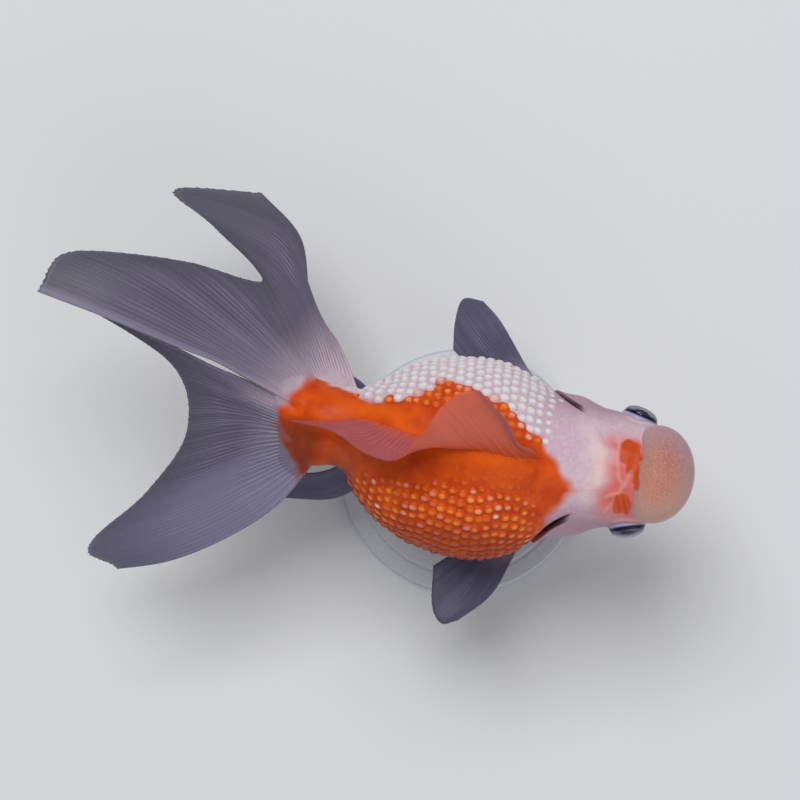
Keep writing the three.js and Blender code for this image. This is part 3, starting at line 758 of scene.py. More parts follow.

# %% [markdown]
# ## Materials from nodes
# Wet fish skin is a soft, slightly see-through body under a clear film. The shader's own sockets give the
# film and the glow. Colour is layered as a painter glazes: a pale ground with a faint mottle, then each
# marking.
# Some glazes below are painted shade and painted light rather than markings.

# %% Short ways to write a node tree
class Nodes:
    """A material, with a short method for each kind of node that the lesson uses."""

    def __init__(self, name, **settings):
        self.material = bpy.data.materials.new(name)
        self.material.use_nodes = True
        self.tree = self.material.node_tree
        self.shader = self.tree.nodes["Principled BSDF"]
        for socket, value in settings.items():
            self.shader.inputs[socket.replace("_", " ")].default_value = value

    def add(self, kind, inputs, output=0, **settings):
        made = self.tree.nodes.new("ShaderNode" + kind)
        for name, value in settings.items():
            setattr(made, name, value)
        for key, value in inputs.items():
            if isinstance(value, bpy.types.NodeSocket):
                self.tree.links.new(value, made.inputs[key])
            else:
                made.inputs[key].default_value = value
        return made.outputs[output]

    def attribute(self, name):
        return self.add("Attribute", {}, output="Fac", attribute_name=name)

    def noise(self, size, detail=2.0, roughness=0.5):
        """Noise with features of about the given size in millimetres."""
        place = self.add("TexCoord", {}, output="Object")
        inputs = {"Vector": place, "Scale": 1 / (size * MM), "Detail": detail, "Roughness": roughness}
        return self.add("TexNoise", inputs)

    def math(self, operation, a, b=0.0):
        return self.add("Math", {0: a, 1: b}, operation=operation)

    def ramp(self, value, low, high, start=0.0, end=1.0):
        inputs = {"Value": value, "From Min": low, "From Max": high, "To Min": start, "To Max": end}
        return self.add("MapRange", inputs, interpolation_type="SMOOTHSTEP")

    def mix(self, share, under, over):
        """Mixes two colours. Each is another node's, or an everyday one."""
        under, over = (paint(*each) if isinstance(each, tuple) else each for each in (under, over))
        return self.add("Mix", {0: share, 6: under, 7: over}, output=2, data_type="RGBA")

    def glaze(self, under, mask, over, most=1.0):
        """Lays a colour over another where the named mask says, at most this strongly."""
        share = self.attribute(mask)
        return self.mix(self.math("MULTIPLY", share, most) if most < 1 else share, under, over)

    def plug(self, socket, value):
        self.tree.links.new(value, self.shader.inputs[socket])

    def bumps(self, *layers):
        """Bumps, each a height and its depth in millimetres, one on top of the other."""
        normal = None
        for height, depth in layers:
            inputs = {"Height": height, "Distance": depth * MM, "Strength": 1.0}
            if normal is not None:
                inputs["Normal"] = normal
            normal = self.add("Bump", inputs)
        self.plug("Normal", normal)


def dress(item, look):
    """Gives an object its material, in place of any it came with."""
    item.data.materials.clear()
    item.data.materials.append(look.material)


# %% Colours that the skin shares with its scales and fins
PALE_SKIN = (212, 188, 196)
TAIL_WEB = (118, 112, 132)
# the brown of the painted shade on the orange, low on the right flank and at the tail's right root
BROWN_SKIN = (104, 42, 24)
RED_BLOT = (192, 70, 16)


def orange_ground(look):
    """Mottled orange, which darkens to brown where the painted shade attribute says."""
    orange = look.mix(look.ramp(look.noise(3.5, detail=3), 0.2, 0.8), (188, 57, 5), (216, 85, 5))
    return look.glaze(orange, "dusk", BROWN_SKIN)


# %% The skin's look
flesh = Nodes(
    "wet_fish_skin",
    Roughness=0.45,
    Subsurface_Weight=0.2,
    Subsurface_Radius=(1.0, 0.35, 0.25),
    Subsurface_Scale=1.2 * MM,
    Coat_Weight=0.06,
    Coat_Roughness=0.25,
    Specular_IOR_Level=0.12,
)
broad = flesh.noise(7, detail=3)
fine = flesh.noise(0.8, detail=4, roughness=0.6)
colour = flesh.mix(flesh.ramp(broad, 0.35, 0.65), PALE_SKIN, (200, 170, 184))
colour = flesh.mix(flesh.ramp(fine, 0.45, 0.75, 0, 0.5), colour, (222, 204, 208))
colour = flesh.glaze(colour, "collar", (228, 198, 184), 0.6)
# painted shade: the head's sides turn lavender-grey where they face sideways and down
colour = flesh.glaze(colour, "cheek", (162, 122, 138), 0.8)
colour = flesh.glaze(colour, "web", TAIL_WEB)
colour = flesh.glaze(colour, "orange", orange_ground(flesh))
# painted light: a vivid orange strip at the dorsal fin's foot, as if lit through the fin
colour = flesh.glaze(colour, "glow", (238, 104, 8), 0.5)
colour = flesh.glaze(colour, "blush", (206, 108, 100))
colour = flesh.glaze(colour, "red", RED_BLOT)
colour = flesh.glaze(colour, "fold", (226, 176, 172), 0.3)
colour = flesh.glaze(colour, "lip", (214, 142, 142), 0.5)
# painted shade: the crease along the back is darkened with brown
colour = flesh.glaze(colour, "crease", (120, 44, 28), 0.25)
# painted shade: near-black red in the gill slits, the open mouth and the nostrils
colour = flesh.glaze(colour, "dark", (44, 5, 16))
flesh.plug("Base Color", colour)
flesh.bumps((flesh.noise(2.2, detail=2), 0.05), (fine, 0.05))
dress(skin, flesh)
only(skin)
bpy.ops.object.shade_smooth()
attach(skin, "root")
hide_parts(*FLESH, "lips")

# %% [markdown]
# ## Pearls
# Each scale of this breed has a hard round dome at its middle. A particle system or instances could scatter
# them, but then they wouldn't be solid mesh. One dome is modelled by hand and copied to a root on the skin.
# The roots start as staggered rows round the body and are then eased apart until they pack like real
# scales. They stay off the fins' roots and the smooth strip at the dorsal fin's foot.

# %% Model one pearl
PEARL_SEGMENTS = 12
PEARL_STEPS = [(1.12, 0.03), (0.84, 0.21), (0.46, 0.42)]
PEARL_RIM = 1.3
PEARL_SINK = 0.25
PEARL_CREST = 0.5
PEARL_LONG, PEARL_BROAD, PEARL_LEAN = 1.06, 0.93, 0.15

bpy.ops.mesh.primitive_circle_add(vertices=PEARL_SEGMENTS, radius=PEARL_RIM, fill_type="NGON")
pearl = bpy.context.object
bpy.ops.object.mode_set(mode="EDIT")
bpy.ops.mesh.select_all(action="SELECT")
last_radius, last_height = PEARL_RIM, -PEARL_SINK
bpy.ops.transform.translate(value=(0, 0, last_height))
for radius, height in PEARL_STEPS:
    bpy.ops.mesh.inset(thickness=(last_radius - radius) * math.cos(math.pi / PEARL_SEGMENTS))
    bpy.ops.transform.translate(value=(0, 0, height - last_height))
    last_radius, last_height = radius, height
bpy.ops.mesh.poke(offset=PEARL_CREST - last_height)
bpy.ops.object.mode_set(mode="OBJECT")
pearl_points = np.array([tuple(v.co) for v in pearl.data.vertices])
pearl_faces = [tuple(face.vertices) for face in pearl.data.polygons]
bpy.data.objects.remove(pearl)
print("one pearl:", len(pearl_faces), "faces, crest", pearl_points[:, 2].max().round(2), "mm")

# %% Root the pearls in staggered rows
PEARL_STEP = 2.2
ROW_STEP = PEARL_STEP * math.sqrt(3) / 2
HEART = Vector((3, 0, 0.5))
FIRST_TILT, LAST_TILT = math.radians(24), math.radians(162)

skin_tree = BVHTree.FromPolygons(skin_points.tolist(), [tuple(f.vertices) for f in skin.data.polygons])


def row_of_roots(tilt, shift):
    """Evenly spaced places on the skin, round the cone at this tilt from the tail's direction."""
    loop = []
    for turn in np.linspace(0, 2 * math.pi, 181):
        out = (-math.cos(tilt), math.sin(tilt) * math.cos(turn), math.sin(tilt) * math.sin(turn))
        hit = skin_tree.ray_cast(HEART, Vector(out))[0]
        if hit is not None:
            loop.append(tuple(hit))
    loop = np.array(loop)
    lengths = np.concatenate([[0], np.cumsum(np.linalg.norm(np.diff(loop, axis=0), axis=1))])
    count = max(6, round(lengths[-1] / PEARL_STEP))
    stops = (np.arange(count) + shift) * lengths[-1] / count
    return np.column_stack([np.interp(stops, lengths, loop[:, axis]) for axis in range(3)]), loop


rows = []
tilt = FIRST_TILT
while tilt < LAST_TILT:
    places, loop = row_of_roots(tilt, 0.5 * (len(rows) % 2))
    rows.append(places)
    tilt += ROW_STEP / np.linalg.norm(loop - np.array(HEART), axis=1).mean()
roots = np.concatenate(rows)
print("roots:", len(roots), "in", len(rows), "rows")

# %% Ease the roots apart
EASING_TURNS = 30
EASING_REACH = 1.3 * PEARL_STEP
EASING_PUSH = 0.35
PEARL_JITTER = 0.12
for _ in range(EASING_TURNS):
    near = KDTree(len(roots))
    for i, place in enumerate(roots):
        near.insert(place, i)
    near.balance()
    eased = roots.copy()
    for i, place in enumerate(roots):
        push = np.zeros(3)
        for _, j, gap in near.find_range(place, EASING_REACH):
            if j != i:
                push += (place - roots[j]) / max(gap, 0.1) * (1 - gap / EASING_REACH)
        eased[i] = skin_tree.find_nearest(Vector(place + EASING_PUSH * push))[0]
    roots = eased
jitter = np.random.default_rng(5).normal(0, PEARL_JITTER, roots.shape)
roots = np.array([tuple(skin_tree.find_nearest(Vector(place))[0]) for place in roots + jitter])

# %% How strong each pearl is, and where there is none
def pearl_strength(points):
    """1 on the flanks, faint on the back beside the dorsal fin, and 0 on its ridge and on the head."""
    x, y, z = points.T
    off_the_cover = 1 - on_the_sides(points) * (1 - rise(0.6, 2.2, gill_place(points)[0]))
    strength = (1 - rise(14, 22, x + 0.1 * z)) * rise(-28, -16, x) * off_the_cover
    right_of_fin = rise(-11, -4.5, y) * (1 - rise(2, 4, y)) * rise(9, 14, z)
    ridge = (1 - rise(-6, 0, x)) * rise(-9.5, -5, y) * (1 - rise(6.4, 7.6, y)) * rise(2, 6, z)
    return strength * (1 - 0.75 * right_of_fin) * (1 - ridge)


def distance_to_fins(points):
    """How far each point lies from the nearest fin's root, along the first part of its rays."""
    best = np.full(len(points), np.inf)
    for rays, _ in ROOT_THICKNESS:
        for across in np.linspace(0, 1, 4 * len(rays)):
            start, end = spline(np.array(rays, dtype=float), np.array([across]))[0][:2]
            best = np.minimum(best, distance_to_line(points, start, start + 0.6 * (end - start)))
    return best


ROD_PLACES = (-5.5, 10.5)
ROD_CLEARANCE = 3.1
FIN_CLEARANCE = 1.7
FAINTEST = 0.12
strengths = pearl_strength(roots) * (1 + 0.06 * mottle(roots, 4, seed=31))
keep = (strengths > FAINTEST) & (distance_to_fins(roots) > FIN_CLEARANCE) & (beside_dorsal(roots) < 0.1)
for rod_x in ROD_PLACES:
    keep &= (np.hypot(roots[:, 0] - rod_x, roots[:, 1]) > ROD_CLEARANCE) | (roots[:, 2] > 0)
roots, strengths = roots[keep], strengths[keep]
print("pearls kept:", len(roots))

# %% Copy the pearl to every root and join the copies
random = np.random.default_rng(7)
count = len(roots)
pearl_normals = np.array([tuple(skin_tree.find_nearest(Vector(place))[1]) for place in roots])
tailwards = np.array([-1.0, 0, 0])
along = tailwards - pearl_normals * (pearl_normals @ tailwards)[:, None]
along /= np.linalg.norm(along, axis=1)[:, None]
across = np.cross(pearl_normals, along)
spread = (0.5 + 0.5 * strengths) * random.uniform(0.88, 1.06, count)
height = strengths * random.uniform(0.7, 1.2, count)
local = pearl_points[None]
copies = (
    roots[:, None]
    + (local[..., 0:1] * PEARL_LONG + PEARL_LEAN * local[..., 2:3]) * (spread[:, None, None] * along[:, None])
    + local[..., 1:2] * PEARL_BROAD * (spread[:, None, None] * across[:, None])
    + local[..., 2:3] * (height[:, None, None] * pearl_normals[:, None])
)
size = len(pearl_points)
faces = [[v + i * size for v in face] for i in range(count) for face in pearl_faces]
pearl_mesh = bpy.data.meshes.new("pearls")
pearl_mesh.from_pydata([tuple(p) for p in (copies.reshape(-1, 3) + BELLY) * MM], [], faces)
pearls = bpy.data.objects.new("pearls", pearl_mesh)
bpy.context.scene.collection.objects.link(pearls)
store(pearls, crest=np.tile(np.clip(pearl_points[:, 2] / PEARL_CREST, 0, 1), count))
# painted highlight: where the pearls catch the light, in a band on the right flank, left of the dorsal fin
# and at the front, their crests are painted lighter
catches_light = rise(-3.5, -8, roots[:, 1]) * (1 - rise(-13, -19, roots[:, 1]))
catches_light += 0.9 * rise(4, 7, roots[:, 1])
catches_light = np.maximum(catches_light, 0.8 * rise(11, 15, roots[:, 0]) * rise(-8, 0, roots[:, 1]))
store(
    pearls,
    size,
    orange=saddle(roots, softness=0.15, scatter=random.uniform(-0.35, 0.35, count)),
    dusk=dusk(roots),
    strength=strengths,
    tone=random.uniform(0, 1, count),
    shine=catches_light * random.uniform(0.2, 1, count),
)

# %% Unwrap the pearls for baking, each as a small patch at its root's place on a cylinder round the body
PATCH = 0.003
SKIN_FROM, SKIN_LENGTH = -26, 54
MARGIN = 0.02
root_turn = np.arctan2(roots[:, 2], roots[:, 1] - 0.5) / (2 * math.pi) + 0.5
root_length = (roots[:, 0] - SKIN_FROM) / SKIN_LENGTH
root_uv = np.column_stack([root_length, MARGIN + (1 - 2 * MARGIN) * root_turn])
patch_uv = root_uv[:, None] + pearl_points[None, :, :2] / (2 * PEARL_RIM) * PATCH
pearls.data.uv_layers.new(name="OFBake")
spread_map(pearls, "OFBake", patch_uv.reshape(-1, 2))
only(pearls)
bpy.ops.object.shade_smooth()
print("pearl triangles:", triangles_of(pearls))

# %% The pearls' look
pearly = Nodes(
    "pearl_scales",
    Roughness=0.4,
    Subsurface_Weight=0.15,
    Subsurface_Radius=(1.0, 0.4, 0.25),
    Subsurface_Scale=0.7 * MM,
    Coat_Weight=0.12,
    Coat_Roughness=0.22,
    Specular_IOR_Level=0.15,
)
crest = pearly.attribute("crest")
tone = pearly.attribute("tone")
# the white pearls' crests are paler: partly their own calcified domes, partly a painted highlight
bright = pearly.mix(tone, (224, 217, 222), (214, 222, 212))
white = pearly.mix(pearly.ramp(crest, 0.15, 1.0), (204, 185, 194), bright)
ground = orange_ground(pearly)
# painted highlight: a light yellow-orange or pinkish crest colour, turned back to plain orange where the
# flank is in painted shade
glow = pearly.mix(pearly.ramp(tone, 0.7, 0.98), (244, 146, 48), (242, 200, 190))
glow = pearly.glaze(glow, "dusk", ground)
shine = pearly.ramp(pearly.attribute("shine"), 0.0, 1.0, 0.15, 0.95)
orange = pearly.mix(pearly.math("MULTIPLY", pearly.ramp(crest, 0.4, 1.0), shine), ground, glow)
orange = pearly.mix(pearly.ramp(pearly.attribute("strength"), 0.2, 0.75), ground, orange)
pearly.plug("Base Color", pearly.glaze(white, "orange", orange))
pearly.bumps((pearly.noise(0.5, detail=3), 0.03))
dress(pearls, pearly)
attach(pearls, "root")

# %% [markdown]
# ## The crown
# The crown is one smooth, blister-like dome of flesh that overhangs the snout, with a clean crease where it
# meets the head. A ball made from a subdivided cube has even faces and no poles, which suits a soft form
# seen from all sides. Each half takes its own radius, as the dome is longer ahead than behind.

# %% Model the crown
def ball(name, cuts):
    """A ball of radius 1 mm at the belly's centre, with even square faces."""
    bpy.ops.mesh.primitive_cube_add(size=2 * MM, location=Vector(BELLY) * MM)
    made = bpy.context.object
    made.name = name
    bpy.ops.object.mode_set(mode="EDIT")
    bpy.ops.mesh.select_all(action="SELECT")
    bpy.ops.mesh.subdivide(number_cuts=cuts)
    bpy.ops.object.mode_set(mode="OBJECT")
    bpy.ops.object.transform_apply()
    points = points_of(made)
    place_points(made, points / np.linalg.norm(points, axis=1)[:, None])
    return made


BACK_SQUARENESS = 2.6  # the dome's rear edge is nearly straight, seen from above
NOTCH = 0.14  # and gives way a little to the larger red blot
crown = ball("crown_dome", 31)
unit = points_of(crown)
power = np.where(unit[:, 0] > 0, 2, BACK_SQUARENESS)
flat_reach = (np.abs(unit[:, 0]) ** power + np.abs(unit[:, 1]) ** power) ** (1 / power)
unit /= np.hypot(flat_reach, unit[:, 2])[:, None]
swollen = unit * crown_radii(unit) * (1 + 0.01 * mottle(unit, 1.2, seed=41))[:, None]
swollen[:, 0] *= 1 - NOTCH * bump(unit[:, 1] - 0.33, 0.4) * (unit[:, 0] < 0)
place_points(crown, CROWN + swollen)
store(
    crown,
    red=0.8 * red_blots(points_of(crown)),
    rim=bump(unit[:, 2] - 0.05, 0.4),
    left=rise(-0.6, 0.9, unit[:, 1] + 0.3 * unit[:, 0]),
    edge=rise(0.3, 1.0, np.hypot(unit[:, 0], unit[:, 1])),
)
only(crown)
bpy.ops.object.shade_smooth()
print("crown points:", len(unit))

# %% The crown's look
jelly = Nodes(
    "crown_flesh",
    Roughness=0.55,
    Subsurface_Weight=0.5,
    Subsurface_Radius=(1.0, 0.45, 0.35),
    Subsurface_Scale=2.5 * MM,
    Specular_IOR_Level=0.25,
    Sheen_Weight=0.6,
    Sheen_Roughness=0.25,
)
grain = jelly.noise(0.4, detail=4, roughness=0.7)
colour = jelly.glaze((182, 122, 98), "left", (166, 106, 94))
pale = jelly.glaze((182, 146, 136), "left", (164, 134, 142))
colour = jelly.glaze(colour, "edge", pale)
colour = jelly.mix(jelly.ramp(grain, 0.4, 0.7, 0, 0.6), colour, (200, 154, 146))
# painted rim light: a pale band round the dome's widest part, where its outline lies seen from above
colour = jelly.glaze(colour, "rim", (204, 172, 172), 0.25)
jelly.plug("Base Color", jelly.glaze(colour, "red", RED_BLOT))
jelly.bumps((jelly.noise(3.5, detail=1), 0.12), (grain, 0.06))
dress(crown, jelly)
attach(crown, "root")
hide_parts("crown")

# %% [markdown]
# ## Eyes
# A fish's eye is a ball with a flat metallic iris, a round lens that bulges through the pupil and a clear
# cornea over both. The ball starts as a sphere whose pole looks out of the head, so its rings of points are
# the rings of the iris. Its colours follow the angle from that pole.

# %% Model each eye and its cornea
IRIS_ANGLE, PUPIL_ANGLE = 50, 25
IRIS_CONE, LENS_BULGE = 0.25, 0.65


def eye_sphere(name):
    """A sphere with its pole along the eye's axis, and where each of its points lies from that axis."""
    axis = eye_axis(name)
    bpy.ops.mesh.primitive_uv_sphere_add(segments=64, ring_count=48, radius=EYE_RADIUS * MM)
    made = bpy.context.object
    made.rotation_euler = axis.to_track_quat("Z", "Y").to_euler()
    made.location = (Vector(EYES[name]) + Vector(BELLY)) * MM
    bpy.ops.object.transform_apply()
    bpy.ops.object.shade_smooth()
    out = points_of(made) - np.array(EYES[name])
    height = out @ np.array(axis)
    side = out - height[:, None] * np.array(axis)
    return made, side, height


def place_round_axis(made, name, side, height):
    """Puts an eye's points back at these heights along its axis."""
    place_points(made, np.array(EYES[name]) + side + height[:, None] * np.array(eye_axis(name)))


def model_eye(name):
    """The ball, with a nearly flat iris and a lens that bulges through the pupil."""
    made, side, height = eye_sphere(name)
    made.name = "eyeball_" + name
    spread = np.linalg.norm(side, axis=1)
    angle = np.degrees(np.arctan2(spread, height))
    iris_spread = EYE_RADIUS * math.sin(math.radians(IRIS_ANGLE))
    pupil_spread = EYE_RADIUS * math.sin(math.radians(PUPIL_ANGLE))
    iris_height = EYE_RADIUS * math.cos(math.radians(IRIS_ANGLE)) + IRIS_CONE * (1 - spread / iris_spread)
    lens = LENS_BULGE * np.sqrt(np.clip(1 - (spread / pupil_spread) ** 2, 0, 1))
    place_round_axis(made, name, side, np.where(angle < IRIS_ANGLE, iris_height + lens, height))
    store(made, angle=angle)
    return made


CORNEA_ANGLE, CORNEA_BULGE, CORNEA_WALL = 57, 1.75, 0.25


def model_cornea(name):
    """A thin clear shell over the iris. The sphere's front half is its outside, the back half its inside."""
    made, side, height = eye_sphere(name)
    made.name = "cornea_" + name
    across = EYE_RADIUS * math.sin(math.radians(CORNEA_ANGLE))
    shrunk = side * across / EYE_RADIUS
    spread = np.linalg.norm(shrunk, axis=1) / across
    dome = np.sqrt(np.clip(1 - spread**2, 0, 1))
    bulge = np.where(height > 0, CORNEA_BULGE, CORNEA_BULGE - CORNEA_WALL)
    rim_height = EYE_RADIUS * math.cos(math.radians(CORNEA_ANGLE))
    place_round_axis(made, name, shrunk, rim_height + bulge * dome)
    return made


# %% The eyes' looks
ball_look = Nodes("eye_iris_and_ball", Roughness=0.3, Metallic=0.2, Specular_IOR_Level=0.1)
angle = ball_look.attribute("angle")
streak = ball_look.noise(0.7, detail=3)
silver = ball_look.mix(ball_look.ramp(streak, 0.35, 0.7), (132, 126, 150), (184, 178, 196))
RINGS = [  # from the pupil outwards: the angles between which each colour takes over
    (23.5, 26, (190, 176, 160)),
    (26, 31, silver),
    (41, 50, (26, 24, 74)),
    (59, 66, (172, 168, 194)),
]
colour = (6, 5, 10)
for start, full, ring in RINGS:
    colour = ball_look.mix(ball_look.ramp(angle, start, full), colour, ring)
ball_look.plug("Base Color", colour)

cornea_look = Nodes(
    "clear_cornea",
    Roughness=0.0,
    Transmission_Weight=1.0,
    IOR=1.1,
    Coat_Weight=0.6,
    Coat_Roughness=0.12,
)
haze = cornea_look.noise(1.5, detail=2)
cornea_look.plug("Base Color", cornea_look.mix(haze, (176, 172, 196), (200, 196, 216)))

# %% Model both eyes
for name in EYES:
    eyeball = model_eye(name)
    dress(eyeball, ball_look)
    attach(eyeball, "root")
    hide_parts("eye_" + name)
    cornea = model_cornea(name)
    dress(cornea, cornea_look)
    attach(cornea, "root")
print("eyes:", list(EYES))

# %% [markdown]
# ## Fins
# A fin is a thin web on soft bony rays that fork again and again towards a ragged free edge. It could be
# cloth with pinned edges, but a fin keeps its own curve. So each is a grid on its sheet, and Solidify makes
# it thicker along every ray. The grid's UV map counts the rays, and both the thickness and the colour ask
# it how near the closest branch is.

# %% The branching rays, as a rule in numbers
FORKS = [(0.3, 0.06, 2.4, 0.25, 0.22), (0.62, 0.05, 1.7, 0.125, 0.2)]  # start, wobble, beat, parting, span
RAY_WIDTH, RAY_END, RAY_TAPER = 0.2, 0.06, 0.7


def branch_gap(count, down):
    """How far a place is from the nearest branch, as a share of a whole ray's width. Each ray forks twice."""
    ray = np.floor(count)
    gap = np.abs(count - ray - 0.5)
    for start, wobble, beat, parting, span in FORKS:
        gap = np.abs(gap - parting * rise(0, span, down - start - wobble * np.sin(ray * beat)))
    return gap


def ray_width(down):
    """Half a branch's width, as a share of a whole ray's."""
    return RAY_WIDTH - (RAY_WIDTH - RAY_END) * rise(0, RAY_TAPER, down)


# %% Model a fin
FRAY = 0.004
RIPPLE = 0.25
GAPE_X, GAPE_LENGTH = -49, 8.5
WEB, FIRST_RAY = 0.22, 0.25


def edge_reach(ray_count, across, down, rounding=0):
    """How far out a point lies. The ray tips stand out unevenly past the web, and the last may be shorter."""
    count = across * ray_count
    tips = branch_gap(count, np.ones(len(count))) / 0.125
    uneven = 0.5 + 0.5 * np.sin(np.floor(count * 4) * 2.3 + np.floor(count) * 1.1)
    return down * (1 - FRAY * (0.4 * tips**1.5 + uneven)) * (1 - rounding * rise(0.84, 1, across))


def model_fin(name, rays, ray_count, down_steps, columns=12, part=0, root_ridge=0.15, rounding=0):
    """A fin from its rays. part is how far its first ray bows aside, where the two tail halves gape."""
    fin, across, down = lay_sheet(
        name, rays, ray_count * columns, down_steps, lambda *place: edge_reach(ray_count, *place, rounding)
    )
    count = across * ray_count
    laid = points_of(fin)
    laid[:, 1] += part * bump(laid[:, 0] - GAPE_X, GAPE_LENGTH) * (1 - rise(0, 3, count))
    place_points(fin, laid)
    laid += (RIPPLE * rise(0.2, 1, down) * mottle(laid, 14, seed=len(name)))[:, None] * normals_of(fin)
    place_points(fin, laid)
    fin.data.uv_layers[0].name = "rays"
    spread_map(fin, "rays", np.column_stack([count, down]))
    if "tail" in name:
        by_stalk = rise(-21, -24, laid[:, 0]) * (1 - rise(9.5, 11, laid[:, 2]))
        store(fin, orange=saddle(laid) * by_stalk, dusk=dusk(laid), root=1 - webbing(laid))
    else:
        store(fin, orange=0 * down, dusk=dusk(laid), root=1 - rise(0.22, 0.6, down))
    width = ray_width(down)
    ridge = 1 - rise(0.25 * width, width, branch_gap(count, down))
    leading = 1 - rise(0, 0.5, count)
    fleshy = 1 - rise(0.2, 0.55, down)
    ridge *= 0.08 + 0.1 * (1 - down) + root_ridge * fleshy
    thicken(fin, WEB + fleshy + ridge + FIRST_RAY * leading * (1 - down))
    only(fin)
    bpy.ops.object.shade_smooth()
    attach(fin, "root")
    print(name, "triangles:", triangles_of(fin))
    return fin


# %% The rays again, as nodes
def ray_nodes(look):
    """The count of rays, the way down them, and 1 on each branch, as branch_gap and ray_width say."""
    place = look.add("UVMap", {}, uv_map="rays")
    count = look.add("SeparateXYZ", {0: place})
    down = count.node.outputs["Y"]
    ray = look.math("FLOOR", count)
    gap = look.math("ABSOLUTE", look.math("SUBTRACT", look.math("SUBTRACT", count, ray), 0.5))
    for start, wobble, beat, parting, span in FORKS:
        late = look.math("MULTIPLY", look.math("SINE", look.math("MULTIPLY", ray, beat)), wobble)
        past = look.math("SUBTRACT", look.math("SUBTRACT", down, start), late)
        gap = look.math("ABSOLUTE", look.math("SUBTRACT", gap, look.ramp(past, 0.0, span, 0.0, parting)))
    width = look.ramp(down, 0.0, RAY_TAPER, RAY_WIDTH, RAY_END)
    return count, down, look.ramp(look.math("DIVIDE", gap, width), 0.1, 1.4, 1.0, 0.0)


# %% The fins' look
TIP_SHADE = (64, 62, 76)


def fin_look(
    name, web, dark_web, ray, root, ray_share=0.4, rear=None, rear_from=0, margin=None, margin_rays=2.5,
    solid=0.96, tip=0,
):
    """Web between rays, with its root, its margin and, where given, its rear in colours of their own."""
    look = Nodes(name, Roughness=0.45, Coat_Weight=0.1, Coat_Roughness=0.25, Specular_IOR_Level=0.3)
    count, down, on_ray = ray_nodes(look)
    inputs = {"W": count, "Scale": 0.7, "Detail": 4.0, "Roughness": 0.7}
    streak = look.ramp(look.add("TexNoise", inputs, noise_dimensions="1D"), 0.35, 0.65)
    patches = look.ramp(look.noise(9), 0.3, 0.7, 0.4, 1.0)
    colour = look.mix(look.math("MULTIPLY", streak, patches), dark_web, web)
    if rear:
        colour = look.mix(look.ramp(count, rear_from, rear_from + 4), colour, rear)
    share = look.ramp(streak, 0, 1, 0.5 * ray_share, ray_share)
    colour = look.mix(look.math("MULTIPLY", on_ray, share), colour, ray)
    colour = look.mix(look.ramp(down, 0.2, 0.6, 0.45, 0.0), colour, ray)
    colour = look.mix(look.ramp(down, 0.6, 1.0, 0.0, tip), colour, TIP_SHADE)
    if margin:
        colour = look.mix(look.ramp(count, 0.3, margin_rays, 0.55, 0.0), colour, margin)
    near_root = look.attribute("root")
    colour = look.mix(near_root, colour, root)
    look.plug("Base Color", look.glaze(colour, "orange", orange_ground(look)))
    root_alpha = look.ramp(down, 0.05, 0.25, 1.0, 0.5 + 0.5 * solid)
    edge_alpha = look.ramp(down, 0.965, 1.0, 1.0, 0.7)
    web_alpha = look.math("MINIMUM", look.ramp(down, 0.5, 0.95, 0.98, solid), edge_alpha)
    look.plug("Alpha", look.math("MINIMUM", root_alpha, look.math("MAXIMUM", web_alpha, near_root)))
    look.bumps((on_ray, 0.02))
    return look


tail_looks = {}
for side, rear in (("left", (88, 82, 102)), ("right", (112, 108, 134))):
    tail_looks[side] = fin_look(
        "tail_web_" + side,
        web=(97, 91, 111),
        dark_web=(80, 75, 95),
        ray=(150, 144, 164),
        root=(198, 174, 188),
        ray_share=0.34,
        rear=rear,
        rear_from=15,
        margin=(138, 130, 150),
        margin_rays=1.2,
        tip=0.55,
    )
side_look = fin_look(
    "side_fin_web",
    web=(81, 76, 102),
    dark_web=(65, 61, 88),
    ray=(123, 118, 148),
    root=(196, 172, 184),
    ray_share=0.5,
)
dorsal_look = fin_look(
    "dorsal_web",
    web=(228, 108, 80),
    dark_web=(216, 98, 76),
    ray=(232, 128, 104),
    root=(204, 76, 20),
    ray_share=0.3,
    rear=(168, 70, 76),
    rear_from=9,
    margin=(120, 72, 96),
    margin_rays=1.6,
    solid=0.84,
)

# %% Model all the fins
dorsal = model_fin("dorsal", DORSAL, 20, 48, columns=9)
dress(dorsal, dorsal_look)
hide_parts("dorsal_fin")
GAPE = 0.45
TAIL_HALVES = [("left", TAIL_LEFT, 30, GAPE, 0), ("right", TAIL_RIGHT, 28, -GAPE, 0.05)]
for side, rays, ray_count, part, rounding in TAIL_HALVES:
    fin = model_fin("tail_" + side, rays, ray_count, 72, 10, part, root_ridge=0.4, rounding=rounding)
    dress(fin, tail_looks[side])
    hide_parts("tail_upper_" + side, "tail_lower_" + side)
PAIRED = [
    ("pectoral_left", PECTORAL_LEFT, 12, "pectoral_fin_left"),
    ("pectoral_right", PECTORAL_RIGHT, 12, "pectoral_fin_right"),
    ("pelvic_left", PELVIC, 8, "pelvic_fin_left"),
    ("pelvic_right", mirrored(PELVIC, 0), 8, "pelvic_fin_right"),
    ("anal_left", mirrored(ANAL, ANAL_MIDDLE), 8, "anal_fin_left"),
    ("anal_right", ANAL, 8, "anal_fin_right"),
]
for name, rays, ray_count, node_name in PAIRED:
    fin = model_fin(name, rays, ray_count, 36)
    dress(fin, side_look)
    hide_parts(node_name)

# %% [markdown]
# ## The stand
# The stand is a low round base with two slim rods that hold the belly. It is turned and bevelled, as a
# museum mount is, and kept plain so the fish is what shows. The rods carry small collars at the foot and
# end just inside the belly.

# %% Turn a piece of the stand
def turned(name, x, foot, radius, height, vertices):
    """A disc that stands at x, with its foot at this height, open in edit mode with its top selected."""
    middle = (x * MM, 0, (foot + height / 2) * MM)
    bpy.ops.mesh.primitive_cylinder_add(
        vertices=vertices, radius=radius * MM, depth=height * MM, location=middle
    )
    made = bpy.context.object
    made.name = name
    edit_faces(made, [face.normal.z > 0.9 for face in made.data.polygons])
    return made


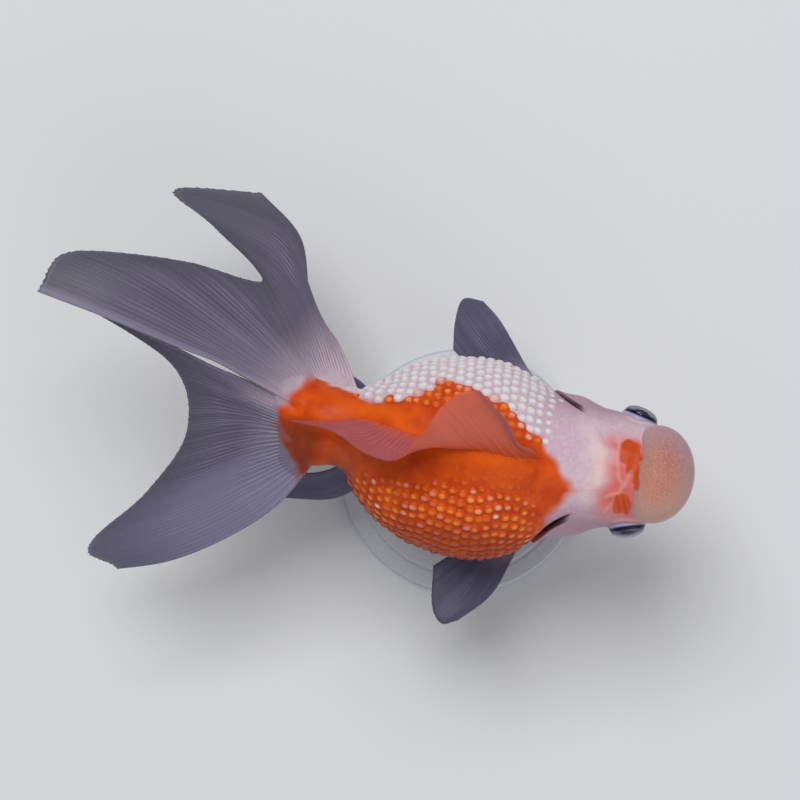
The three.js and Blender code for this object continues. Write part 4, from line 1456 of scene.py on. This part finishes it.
def soften(made, width, segments):
    """Leaves edit mode and rounds the sharp edges."""
    bpy.ops.object.mode_set(mode="OBJECT")
    settings = {"limit_method": "ANGLE", "angle_limit": math.radians(50)}
    finish_with(made, "BEVEL", width=width * MM, segments=segments, **settings)
    bpy.ops.object.transform_apply()
    bpy.ops.object.shade_smooth_by_angle(angle=math.radians(35))


# %% Model the base, with a fine groove round its top
BASE_X, BASE_RADIUS, BASE_HEIGHT = 2.5, 26, 5
GROOVE_IN, GROOVE_WIDTH, GROOVE_DEPTH = 3.2, 0.5, 0.45
base = turned("base_plinth", BASE_X, 0, BASE_RADIUS, BASE_HEIGHT, vertices=128)
bpy.ops.mesh.inset(thickness=GROOVE_IN * MM)
for depth in (-GROOVE_DEPTH, GROOVE_DEPTH):
    bpy.ops.mesh.inset(thickness=GROOVE_WIDTH * MM)
    bpy.ops.transform.translate(value=(0, 0, depth * MM))
soften(base, 0.9, 4)

painted = Nodes("satin_paint", Roughness=0.45, Coat_Weight=0.2, Coat_Roughness=0.3)
fleck = painted.noise(0.35, detail=2)
painted.plug("Base Color", painted.mix(painted.ramp(fleck, 0.4, 0.65), (182, 184, 188), (192, 194, 198)))
painted.bumps((fleck, 0.02))
dress(base, painted)
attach(base, "root")
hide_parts("stand_base")

# %% Model the rods, each drawn up out of its collar
ROD_RADIUS = 2.1
COLLAR_TALL, COLLAR_STEP = 1.4, 0.5
ROD_TOPS = (26.2, 25.4)  # heights just inside the belly
steel = Nodes("brushed_steel", Roughness=0.28, Metallic=1.0)
brushing = steel.noise(0.6, detail=3)
steel.plug("Base Color", steel.mix(steel.ramp(brushing, 0.35, 0.65), (186, 188, 191), (192, 193, 196)))
steel.bumps((brushing, 0.002))
for name, rod_x, top in zip(("rear", "front"), ROD_PLACES, ROD_TOPS):
    rod = turned("rod_" + name, rod_x, BASE_HEIGHT, ROD_RADIUS, COLLAR_TALL, vertices=48)
    bpy.ops.mesh.inset(thickness=COLLAR_STEP * MM)
    rod_height = top - BASE_HEIGHT - COLLAR_TALL
    bpy.ops.mesh.extrude_region_move(TRANSFORM_OT_translate={"value": (0, 0, rod_height * MM)})
    soften(rod, 0.25, 3)
    dress(rod, steel)
    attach(rod, "root")
    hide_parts("stand_rod_" + name)
